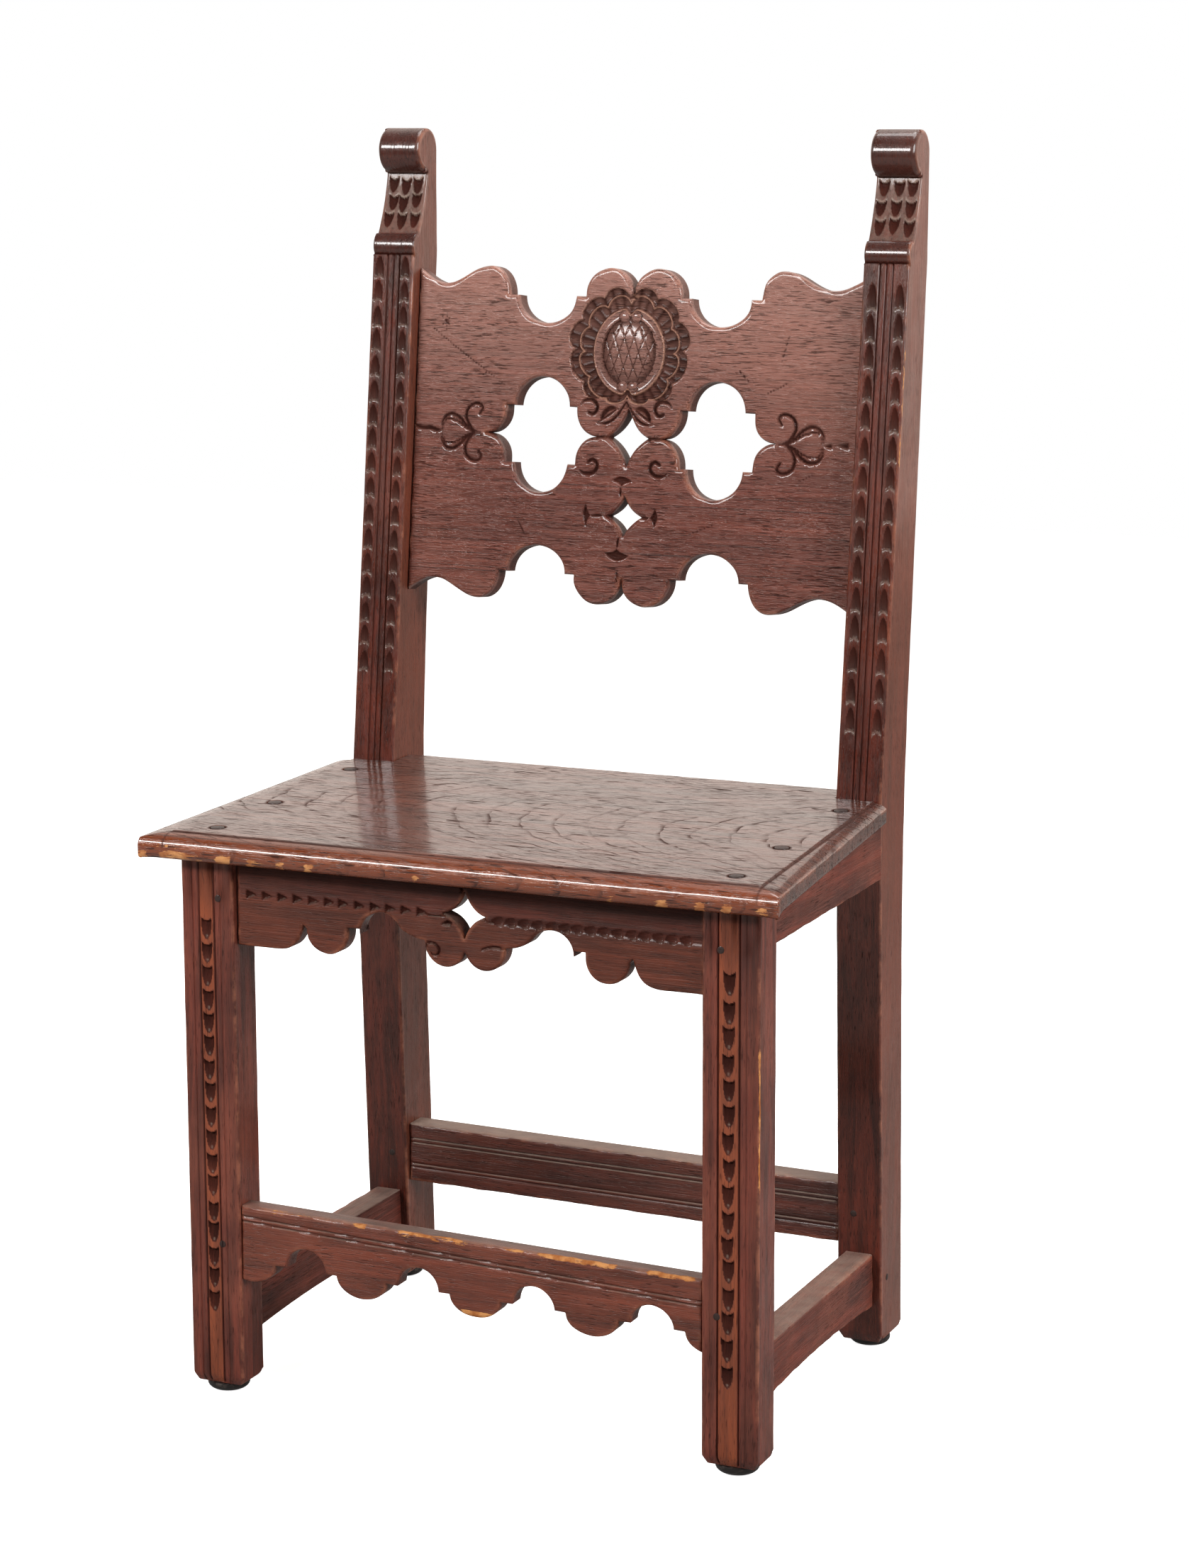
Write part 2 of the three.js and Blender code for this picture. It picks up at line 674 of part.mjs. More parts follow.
function seat_plan() {
  const rear = -joint_gap;
  const front = -frame_depth - seat_nose - overrun;
  const tongue_half = post_inner - joint_gap;
  const half = (side) => [
    [leg_outer + side.front, front],
    [post_outer + side.rear, rear],
    [tongue_half, rear],
    [tongue_half, seat_tongue],
  ];
  const left = half(seat_sides.left).map(([x, y]) => [-x, y]).reverse();
  return outline([...half(seat_sides.right), ...left]);
}

// The cut that sinks the moulding along a right-hand end, from its front width to its rear width
function end_moulding({ front, rear, front_mould, rear_mould }) {
  const ends = [
    { y: -frame_depth - seat_nose - overrun, edge: leg_outer + front, width: front_mould },
    { y: overrun, edge: post_outer + rear, width: rear_mould },
  ];
  const rings = ends.map(({ y, edge, width }) => [
    [edge - width - overrun / 2, y, overrun],
    [edge - width + mould_quirk / 2, y, -mould_quirk],
    [edge + overrun, y, -mould_sink],
    [edge + overrun, y, overrun],
  ]);
  return sweep(rings);
}

// A closed form between two rings of points, each anticlockwise as seen from the first ring's side
function sweep([first, last]) {
  const n = first.length;
  const faces = [];
  for (let i = 0; i < n; i += 1) {
    const j = (i + 1) % n;
    faces.push([i, n + j, j], [i, n + i, n + j]);
  }
  for (let i = 1; i < n - 1; i += 1) {
    faces.push([0, i, i + 1], [n, n + i + 1, n + i]);
  }
  const geometry = new THREE.BufferGeometry();
  geometry.setAttribute('position', new THREE.Float32BufferAttribute([...first, ...last].flat(), 3));
  geometry.setIndex(faces.flat());
  return solid(geometry);
}

function seat_board() {
  const reach = seat_reach;
  const board = from_side(seat_profile(), -reach, reach).intersect(from_plan(seat_plan(), -reach, reach));
  const right = end_moulding(seat_sides.right);
  const left = end_moulding(seat_sides.left).mirror([1, 0, 0]);
  const holes = all_seat_pegs(joint_gap);
  return cut(tilt(cut(board, right, left)), holes, holes.mirror([1, 0, 0]));
}

// Apron: the right half of its lower edge, from the middle to the leg
function apron_outline() {
  const w = apron_half_width;
  const h = apron_height;
  const scroll = w * apron_scroll.across;
  const scroll_height = h * apron_scroll.up;
  const scroll_x = scroll - w * apron_scroll.overlap;
  const meet_turn = Math.acos(scroll_x / scroll);
  const scroll_side = scroll_x + scroll;
  const arch_x = w * apron_arch.middle;
  const arch = w * apron_arch.across;
  const arch_height = h * apron_arch.up;
  const arch_turn = Math.PI * apron_arch.start_turn;
  const arch_foot = arch_x + arch * Math.cos(arch_turn);
  const foot_level = h * apron_arch.foot;
  const step_end = w * apron_step.end;
  const step_level = h * apron_step.level;
  const lobe = w * apron_lobe.across;
  const lobe_height = h * apron_lobe.up;
  const cusp = w * apron_cusp.across;
  const bracket = w * apron_bracket_end;
  const ease = (bracket - cusp) * ease_share;
  const path = new THREE.Path();
  path.moveTo(0, scroll_height - scroll_height * Math.sin(meet_turn));
  path.absellipse(scroll_x, scroll_height, scroll, scroll_height, Math.PI + meet_turn, 2 * Math.PI, false);
  path.lineTo(scroll_side, foot_level);
  path.quadraticCurveTo(
    (scroll_side + arch_foot) / 2, foot_level,
    arch_foot, arch_height + arch_height * Math.sin(arch_turn),
  );
  path.absellipse(arch_x, arch_height, arch, arch_height, arch_turn, 0, true);
  path.lineTo(arch_x + arch, step_level);
  path.lineTo(step_end, step_level);
  path.absellipse(step_end + lobe, lobe_height, lobe, lobe_height, Math.PI, Math.PI * 2, false);
  path.lineTo(cusp, h * apron_cusp.level);
  path.bezierCurveTo(cusp + ease / 2, 0, bracket - ease, 0, bracket, 0);
  path.lineTo(w, 0);
  return path.getPoints(curve_steps);
}

function front_apron() {
  const right = apron_outline();
  const left = right.map((p) => new THREE.Vector2(-p.x, p.y)).reverse();
  const top = [1, -1].map((side) => new THREE.Vector2(apron_half_width * side, apron_height));
  const shape = new THREE.Shape(distinct([...left, ...right, ...top]));
  const rear = apron_setback + apron_thickness;
  const opening = star(apron_star, apron_half_width, apron_height);
  const board = from_front(shape, apron_setback, rear)
    .subtract(from_front(opening, apron_setback - overrun, rear + overrun))
    .translate([0, 0, apron_top - apron_height]);
  const tenon = block(apron_tenon[0] - overrun, ...apron_tenon.slice(1));
  const peg = front_peg_form(front_pegs.apron, joint_gap);
  return cut(add(board, tenon, tenon.mirror([1, 0, 0])), peg, peg.mirror([1, 0, 0]));
}

// Seat rails
function side_rail() {
  const z_rear = seat_underside(post_face(side_rail_top)) - joint_gap;
  const rear_top = post_face(z_rear) - joint_gap;
  const rear_bottom = post_face(z_rear - side_rail_rear_height) - joint_gap;
  const shape = outline([
    [leg_depth + joint_gap, side_rail_bottom],
    [rear_bottom, z_rear - side_rail_rear_height],
    [rear_top, z_rear],
    [rear_top, seat_height],
    [leg_depth + joint_gap, seat_height],
  ]);
  return cut(
    add(from_side(shape, side_rail_inner, side_rail_outer), block(...side_rail_tenon)),
    above_frame(),
    all_seat_pegs(joint_gap),
  );
}

function rear_rail() {
  const half = post_inner - joint_gap;
  const rear = rear_rail_front + rear_rail_thickness;
  const body = block(-half, half, rear_rail_front, rear, rear_rail_top - rear_rail_height, seat_height);
  const tenon = block(rear_rail_tenon[0] - overrun, ...rear_rail_tenon.slice(1));
  return cut(add(body, tenon, tenon.mirror([1, 0, 0])), above_frame());
}

// Front stretcher: one endless row of arches and lobes, clipped at the legs
function scallop_outline() {
  const half_arch = scallop_pitch * scallop_across.half_arch;
  const step = scallop_pitch * scallop_across.step;
  const half_lobe = scallop_pitch / 2 - half_arch - step;
  const level = front_stretcher_height * scallop_up.lobe;
  const rise = front_stretcher_height * scallop_up.arch;
  const start = scallop_pitch * (scallop_across.shift - (scallop_count + 1) / 2);
  const path = new THREE.Path();
  path.moveTo(start, front_stretcher_height);
  path.lineTo(start, level + rise);
  path.absellipse(start, level, half_arch, rise, Math.PI / 2, 0, true);
  for (let i = 1; i <= scallop_count + 1; i += 1) {
    const arch = start + i * scallop_pitch;
    const lobe = arch - scallop_pitch / 2;
    path.lineTo(lobe - half_lobe, level);
    path.absellipse(lobe, level, half_lobe, level, Math.PI, 2 * Math.PI, false);
    path.lineTo(arch - half_arch, level);
    path.absellipse(arch, level, half_arch, rise, Math.PI, 0, true);
  }
  path.lineTo(start + (scallop_count + 1) * scallop_pitch + half_arch, front_stretcher_height);
  return new THREE.Shape(distinct(path.getPoints(curve_steps)));
}

function front_stretcher() {
  const half = leg_inner - joint_gap;
  const front = front_stretcher_setback;
  const rear = front + front_stretcher_thickness;
  const row = from_front(scallop_outline(), front, rear).translate([0, 0, front_stretcher_bottom]);
  const between = block(-half, half, front - overrun, rear + overrun, 0, seat_height);
  const tenon = block(front_stretcher_tenon[0] - overrun, ...front_stretcher_tenon.slice(1));
  const peg = front_peg_form(front_pegs.front_stretcher, joint_gap);
  const bead_z = front_stretcher_top - front_bead_drop - bead_width / 2;
  return cut(
    add(row.intersect(between), tenon, tenon.mirror([1, 0, 0])),
    ...bead_cuts(front, bead_z, half),
    peg,
    peg.mirror([1, 0, 0]),
  );
}

// Side stretcher, right-hand side, with its lower edge slightly hollowed
function side_stretcher() {
  const front = leg_depth + joint_gap;
  const rear_bottom = post_face(side_stretcher_bottom) - joint_gap;
  const rear_top = post_face(side_stretcher_top) - joint_gap;
  const shape = new THREE.Shape();
  shape.moveTo(front, side_stretcher_bottom);
  shape.quadraticCurveTo(
    (front + rear_bottom) / 2, side_stretcher_bottom + side_stretcher_hollow * 2,
    rear_bottom, side_stretcher_bottom,
  );
  shape.lineTo(rear_top, side_stretcher_top);
  shape.lineTo(front, side_stretcher_top);
  return cut(
    add(from_side(shape, side_stretcher_inner, side_stretcher_outer), block(...side_stretcher_tenon)),
    side_peg_form(joint_gap),
  );
}

function rear_stretcher() {
  const half = post_inner - joint_gap;
  const front = rear_stretcher_front;
  const rear = front + rear_stretcher_thickness;
  const body = block(-half, half, front, rear, rear_stretcher_bottom, rear_stretcher_top);
  const tenon = block(rear_stretcher_tenon[0] - overrun, ...rear_stretcher_tenon.slice(1));
  const peg = front_peg_form(front_pegs.rear_stretcher, joint_gap);
  const beads = rear_bead_shares.flatMap((share) => (
    bead_cuts(front, rear_stretcher_bottom + rear_stretcher_height * share, half)
  ));
  return cut(add(body, tenon, tenon.mirror([1, 0, 0])), ...beads, peg, peg.mirror([1, 0, 0]));
}

// Named meshes
const materials = {
  wood: new THREE.MeshStandardMaterial({ color: wood_colour, roughness: wood_roughness, metalness: 0 }),
  seat: new THREE.MeshStandardMaterial({ color: seat_colour, roughness: wood_roughness, metalness: 0 }),
  peg: new THREE.MeshStandardMaterial({ color: peg_colour, roughness: wood_roughness, metalness: 0 }),
  glide: new THREE.MeshStandardMaterial({ color: glide_colour, roughness: glide_roughness, metalness: 1 }),
};

const chair = new THREE.Group();

function place(name, piece, material) {
  const mesh = piece.getMesh();
  const geometry = new THREE.BufferGeometry();
  geometry.setAttribute('position', new THREE.Float32BufferAttribute(mesh.vertProperties, 3));
  geometry.setIndex([...mesh.triVerts]);
  geometry.computeVertexNormals();
  const node = new THREE.Mesh(geometry, materials[material].clone());
  node.name = name;
  chair.add(node);
}

function place_pair(name, piece, material) {
  place(`${name}_right`, piece, material);
  place(`${name}_left`, piece.mirror([1, 0, 0]), material);
}

place_pair('rear_post', rear_post(), 'wood');
place_pair('front_leg', front_leg(), 'wood');
place('back_board', back_board(), 'wood');
place('seat_board', seat_board(), 'seat');
place('front_apron', front_apron(), 'wood');
place_pair('side_rail', side_rail(), 'wood');
place('rear_rail', rear_rail(), 'wood');
place('front_stretcher', front_stretcher(), 'wood');
place_pair('side_stretcher', side_stretcher(), 'wood');
place('rear_stretcher', rear_stretcher(), 'wood');
Object.entries(seat_peg_rows).forEach(([row, y]) => {
  place_pair(`seat_peg_${row}`, seat_peg_form(y, 0), 'peg');
});
Object.entries(front_pegs).forEach(([joint, at]) => {
  place_pair(`${joint}_peg`, front_peg_form(at, 0), 'peg');
});
place_pair('side_stretcher_peg', side_peg_form(0), 'peg');
place_pair('front_glide', glide(leg_foot), 'glide');
place_pair('rear_glide', glide(post_foot), 'glide');

// The origin is on the floor, under the middle of the chair
const middle = new THREE.Box3().setFromObject(chair).getCenter(new THREE.Vector3());
chair.position.set(-middle.x, -middle.y, 0);

export default chair;
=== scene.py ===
import math
from collections import defaultdict, namedtuple

import bpy
import numpy as np
from mathutils import Matrix, Vector
from mathutils.geometry import delaunay_2d_cdt
from mathutils.kdtree import KDTree


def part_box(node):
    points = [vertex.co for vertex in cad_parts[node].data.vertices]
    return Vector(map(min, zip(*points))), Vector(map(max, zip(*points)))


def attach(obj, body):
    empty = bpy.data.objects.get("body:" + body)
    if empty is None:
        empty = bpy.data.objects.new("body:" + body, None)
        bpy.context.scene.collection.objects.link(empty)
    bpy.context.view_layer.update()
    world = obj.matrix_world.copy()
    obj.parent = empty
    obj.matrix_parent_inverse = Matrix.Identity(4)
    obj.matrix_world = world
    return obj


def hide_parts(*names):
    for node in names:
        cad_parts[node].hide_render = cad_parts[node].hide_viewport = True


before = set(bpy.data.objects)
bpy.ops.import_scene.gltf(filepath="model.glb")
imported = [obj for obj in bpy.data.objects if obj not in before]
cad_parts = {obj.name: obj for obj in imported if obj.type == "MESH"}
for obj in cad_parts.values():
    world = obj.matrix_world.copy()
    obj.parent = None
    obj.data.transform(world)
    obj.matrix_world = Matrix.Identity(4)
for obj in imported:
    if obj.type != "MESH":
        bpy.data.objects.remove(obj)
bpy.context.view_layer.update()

# Shapes are worked out in millimetres, and made into metres where a mesh is made
MM = 0.001
WELD = 0.02  # corners nearer than this are one corner
FLAT = 0.05  # a face this near a plane lies in it

# Camera, fitted to the photo: pixels are of the photo's frame
PHOTO_SIZE = (1677, 2212)
CAMERA_PLACE = (1144.34, -2563.05, 1004.76)
CAMERA_YAW = 0.42757
CAMERA_PITCH = 0.18565
CAMERA_ROLL = -0.0013
FOCAL_PIXELS = 5057.06
CENTRE_SHIFT = (-98.05, 9.98)  # of the lens axis, to the right and down
SENSOR_WIDTH = 36.0

# Meshes
EDGE_STEP = 1.3  # spacing of points along an outline
SURFACE_STEP = 1.5  # spacing of points inside it
BACK_STEP = 9.0
FINE_STEP = 0.9  # inside the rosette
CARVED_STEP = 1.1  # inside the carved rails
PLAIN_BOARD_STEP = 3.0
SEAT_STEP = 1.6
OUTLINE_SAMPLE = 0.4  # spacing at which distances from an outline are measured
WALL_LEVELS = (0.25, 0.5, 0.75, 1.0)  # rows down a board's walls
BACK_ANGLES = (math.pi / 6, math.pi / 3, math.pi / 2)  # rows round its back edge
RING_SHARES = (0.3, 0.75, 1.3)  # rings of points inside an outline, as shares of its rounded edge's radius
SHARP_ANGLE = math.radians(38)

# Wear of the boards' edges
ARRIS = 2.2  # radius that use has rounded the front edges to
BOARD_ARRIS = 2.8
BACK_ARRIS = 1.2
WALL_DARKENING = 0.6  # how much darker the back board's sawn walls are
ARRIS_CHANGE = 0.35  # share by which the radius changes along an edge
ARRIS_CHANGE_LENGTH = 17.0
RELIEF_FADE = 0.8  # the relief runs out over this distance from an outline
UNEVEN = 0.08  # of a hand-planed face
DEEPEST = 0.6  # share of a board's thickness

# The photo shows the back a little taller, and the front feet a little further right, than the solids
SEAT_LEVEL = 470.0
TOP_LEVEL = 994.0
TOP_LIFT = 2.2
LEG_DRIFT = 4.0
LEG_TOP = 440.0
LEG_STILL = 0.75  # share of a leg's height, from its top down, at which it stands where the solid does


# Frames of flat faces
Plane = namedtuple("Plane", "origin across up into thickness")


def node_triangles(name):
    """The triangles of a CAD node, as an array of corners in millimetres."""
    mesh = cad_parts[name].data
    mesh.calc_loop_triangles()
    points = np.empty(len(mesh.vertices) * 3)
    mesh.vertices.foreach_get("co", points)
    corners = np.empty(len(mesh.loop_triangles) * 3, int)
    mesh.loop_triangles.foreach_get("vertices", corners)
    return (points.reshape(-1, 3) / MM)[corners.reshape(-1, 3)]


def box_corners(name):
    """The low and high corners of a CAD node's box, in millimetres."""
    return [np.array(corner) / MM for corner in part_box(name)]


def faces_towards(triangles, direction, lean=0.2):
    """The largest flat face that looks along a direction: its triangles, its normal and its offset."""
    sides = triangles[:, 1:] - triangles[:, :1]
    crosses = np.cross(sides[:, 0], sides[:, 1])
    doubled = np.linalg.norm(crosses, axis=1)
    normals = crosses / np.maximum(doubled, 1e-9)[:, None]
    offsets = (triangles[:, 0] * normals).sum(1)
    looking = normals @ np.array(direction, float) > 1 - lean
    best = None
    for index in np.argsort(-doubled * looking)[:12]:
        near = (np.abs(triangles @ normals[index] - offsets[index]) < FLAT).all(1)
        area = doubled[near].sum()
        if best is None or area > best[0]:
            best = (area, near, normals[index], offsets[index])
    return triangles[best[1]], best[2], best[3]


def board_plane(name, front=(0, -1, 0), across=(1, 0, 0)):
    """The plane of a board's front face, and the outline loops of the face behind it."""
    triangles = node_triangles(name)
    _, normal, offset = faces_towards(triangles, front)
    behind, _, back_offset = faces_towards(triangles, [-v for v in front])
    into = -normal
    across = np.array(across, float)
    up = np.cross(across, into) * (1 if np.cross(across, into)[2] > 0 else -1)
    middle = triangles.reshape(-1, 3)
    middle = (middle.min(0) + middle.max(0)) / 2
    origin = middle - normal * (middle @ normal - offset)
    plane = Plane(origin, across, up, into, offset + back_offset)
    return plane, face_loops(behind, plane)


def face_loops(triangles, plane):
    """The boundary loops of flat triangles, as lists of (across, up) points."""
    points = triangles.reshape(-1, 3)
    flat = np.stack([(points - plane.origin) @ plane.across, (points - plane.origin) @ plane.up], 1)
    keys = {}
    ids = [keys.setdefault(tuple(np.round(p / WELD).astype(int)), len(keys)) for p in flat]
    places = np.zeros((len(keys), 2))
    places[ids] = flat
    edges = set()
    for a, b, c in np.array(ids).reshape(-1, 3):
        edges.update([(a, b), (b, c), (c, a)])
    onward = defaultdict(list)
    for a, b in edges:
        if (b, a) not in edges:
            onward[a].append(b)
    loops = []
    while onward:
        start = next(iter(onward))
        before, here = start, take_next(onward, places, None, start)
        loop = [start]
        while here != start:
            loop.append(here)
            before, here = here, take_next(onward, places, before, here)
        loops.append(places[loop])
    return sorted(loops, key=lambda loop: -abs(loop_area(loop)))


def take_next(onward, places, before, here):
    """The next point of a boundary. Where two loops touch, it stays on the one that it came by."""
    choices = onward[here]
    if before is not None and len(choices) > 1:
        back = math.atan2(*(places[before] - places[here])[::-1])
        turns = [(back - math.atan2(*(places[c] - places[here])[::-1])) % (2 * math.pi) for c in choices]
        choice = choices[int(np.argmax(turns))]
    else:
        choice = choices[0]
    choices.remove(choice)
    if not choices:
        del onward[here]
    return choice


def loop_area(loop):
    """The area in a loop, above zero where it runs anticlockwise."""
    x, y = loop[:, 0], loop[:, 1]
    return 0.5 * float(x @ np.roll(y, -1) - y @ np.roll(x, -1))


def dense_loop(loop, step):
    """The same loop with its long sides divided, so that no step is longer than the one given."""
    parts = []
    for here, there in zip(loop, np.roll(loop, -1, 0)):
        count = max(1, math.ceil(np.linalg.norm(there - here) / step))
        parts.append(here + (there - here) * (np.arange(count) / count)[:, None])
    return np.concatenate(parts)


def loop_normals(loop):
    """Inward normals at the points of a loop, for loops that run with the solid on their left."""
    along = np.roll(loop, -1, 0) - np.roll(loop, 1, 0)
    along /= np.maximum(np.linalg.norm(along, axis=1), 1e-9)[:, None]
    return np.stack([-along[:, 1], along[:, 0]], 1)


def following(loops):
    """For the points of the loops in one row, the number of the next point on the same loop."""
    ends = np.cumsum([len(loop) for loop in loops])
    return np.concatenate([np.roll(part, -1) for part in np.split(np.arange(ends[-1]), ends[:-1])])


def orient(loops):
    """The outer loop anticlockwise and the holes clockwise."""
    return [loop if (loop_area(loop) > 0) == (i == 0) else loop[::-1] for i, loop in enumerate(loops)]


def grid_inside(loops, step, box=None):
    """Points of an even grid that lie inside the loops."""
    sides = np.concatenate([np.stack([loop, np.roll(loop, -1, 0)], 1) for loop in loops])
    low, high = loops[0].min(0), loops[0].max(0)
    if box is not None:
        low, high = np.maximum(low, box[0]), np.minimum(high, box[1])
    rows = []
    row_step = step * math.sqrt(3) / 2
    for k, v in enumerate(np.arange(low[1] + row_step / 2, high[1], row_step)):
        a, b = sides[:, 0], sides[:, 1]
        hit = (a[:, 1] <= v) != (b[:, 1] <= v)
        a, b = a[hit], b[hit]
        crossings = np.sort(a[:, 0] + (v - a[:, 1]) * (b[:, 0] - a[:, 0]) / (b[:, 1] - a[:, 1]))
        xs = np.arange(low[0] + step * (0.25 + 0.5 * (k % 2)), high[0], step)
        inside = np.searchsorted(crossings, xs) % 2 == 1
        rows.append(np.stack([xs[inside], np.full(inside.sum(), v)], 1))
    return np.concatenate(rows)


def edge_distances(points, loops):
    """The distance of each point from the nearest outline."""
    samples = np.concatenate([dense_loop(loop, OUTLINE_SAMPLE) for loop in loops])
    tree = KDTree(len(samples))
    for i, (x, y) in enumerate(samples):
        tree.insert((x, y, 0), i)
    tree.balance()
    return np.array([tree.find((x, y, 0))[2] for x, y in points])


def fill(loops, inner):
    """Triangles between the loops, through the inner points. The loops' own points come first."""
    rim = np.concatenate(loops)
    edges = list(enumerate(following(loops).tolist()))
    points = np.concatenate([rim, inner]) if len(inner) else rim
    result = delaunay_2d_cdt([Vector(p) for p in points], edges, [], 1, 1e-5, True)
    faces, origins = result[2], result[3]
    order = [source[0] if source else None for source in origins]
    kept = [[order[i] for i in face] for face in faces]
    triangles = np.array([face for face in kept if None not in face])
    doubtful = (triangles < len(rim)).all(1)
    keep = np.ones(len(triangles), bool)
    keep[doubtful] = points_inside(points[triangles].mean(1)[doubtful], loops)
    return points, triangles[keep]


def points_inside(points, loops):
    """For each point, whether it lies inside the loops and outside their holes."""
    sides = np.concatenate([np.stack([loop, np.roll(loop, -1, 0)], 1) for loop in loops])
    a, b = sides[:, 0], sides[:, 1]
    inside = np.zeros(len(points), bool)
    for i, (x, y) in enumerate(points):
        hit = (a[:, 1] <= y) != (b[:, 1] <= y)
        crossings = a[hit, 0] + (y - a[hit, 1]) * (b[hit, 0] - a[hit, 0]) / (b[hit, 1] - a[hit, 1])
        inside[i] = (crossings > x).sum() % 2 == 1
    return inside


# Smooth noise that is the same each run
def waves(points, length, seed):
    """A gentle random field, about -1 to 1, that changes over the given length."""
    rng = np.random.default_rng(seed)
    total = np.zeros(len(points))
    dims = points.shape[1]
    for _ in range(7):
        direction = rng.normal(size=dims)
        direction /= np.linalg.norm(direction)
        turns = points @ direction * 2 * math.pi / (length * rng.uniform(0.7, 1.6))
        total += np.sin(turns + rng.uniform(0, 7))
    return total / 3.5


def near_line(gap, half):
    """1 on a line, and down to 0 at the given distance from it."""
    return np.clip(1 - np.abs(gap) / half, 0, 1)


def hollow(share):
    """How far a half circle lies below its top, over a share from -1 to 1 of its width."""
    return 1 - np.sqrt(np.clip(1 - share**2, 0, 1))


def rounding(distance, radius):
    """How far a rounded edge lies below the flat at a distance from the outline."""
    inward = np.clip(1 - distance / radius, 0, 1)
    return radius * (1 - np.sqrt(np.maximum(0, 1 - inward**2)))


# Meshes
def make_object(name, points, faces, material, marks=None):
    """A piece of the chair: points in millimetres, and marks that its wood reads at each of them."""
    points = np.array(points, float)
    points[:, 2] += TOP_LIFT * np.clip((points[:, 2] - SEAT_LEVEL) / (TOP_LEVEL - SEAT_LEVEL), 0, None)
    mesh = bpy.data.meshes.new(name)
    mesh.from_pydata((points * MM).tolist(), [], [tuple(map(int, f)) for f in faces])
    for mark, values in (marks or {}).items():
        layer = mesh.attributes.new(mark, "FLOAT", "POINT")
        layer.data.foreach_set("value", np.asarray(values, np.float32))
    mesh.polygons.foreach_set("use_smooth", [True] * len(mesh.polygons))
    mesh.set_sharp_from_angle(angle=SHARP_ANGLE)
    mesh.materials.append(material)
    mesh.validate()
    piece = bpy.data.objects.new(name, mesh)
    bpy.context.scene.collection.objects.link(piece)
    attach(piece, "root")
    return piece


def stand_in_for(piece, node):
    """The piece is seen in place of a CAD node."""
    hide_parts(node)


def front_points(loops, step, arris, extra):
    """Points inside the loops: an even grid, a finer one in a box, and rings along the rounded edges."""
    inner = grid_inside(loops, step)
    if extra is not None:
        box, fine = extra
        low, high = np.array(box[0]), np.array(box[1])
        outside = ((inner < low) | (inner > high)).any(1)
        inner = np.concatenate([inner[outside], grid_inside(loops, fine, (low, high))])
    parts = [inner[edge_distances(inner, loops) > arris * 1.5]]
    for share in RING_SHARES:
        ring = np.concatenate([loop + loop_normals(loop) * arris * share for loop in loops])
        clear = edge_distances(ring, loops) > arris * share * 0.93
        ring = ring[clear]
        parts.append(ring[points_inside(ring, loops)])
    return np.concatenate(parts)


def plain_face(loops, inner, clear):
    """A face that isn't carved: those of its inner points that are clear of the outline, and its triangles.
    The triangles count the loops' own points first."""
    inner = inner[edge_distances(inner, loops) > clear]
    points, triangles = fill(loops, inner)
    return points[sum(len(loop) for loop in loops):], triangles


def wall_rows(loops, rim_points, top, back, thick):
    """Rows of points down the walls of a board and round its back edge, each with its depths."""
    bottom = thick - back
    rows = [(rim_points, top + (bottom - top) * level) for level in WALL_LEVELS]
    normals = np.concatenate([loop_normals(loop) for loop in loops])
    for angle in BACK_ANGLES:
        inset = back * (1 - math.cos(angle))
        rows.append((rim_points + normals * inset[:, None], thick - back * (1 - math.sin(angle))))
    return rows


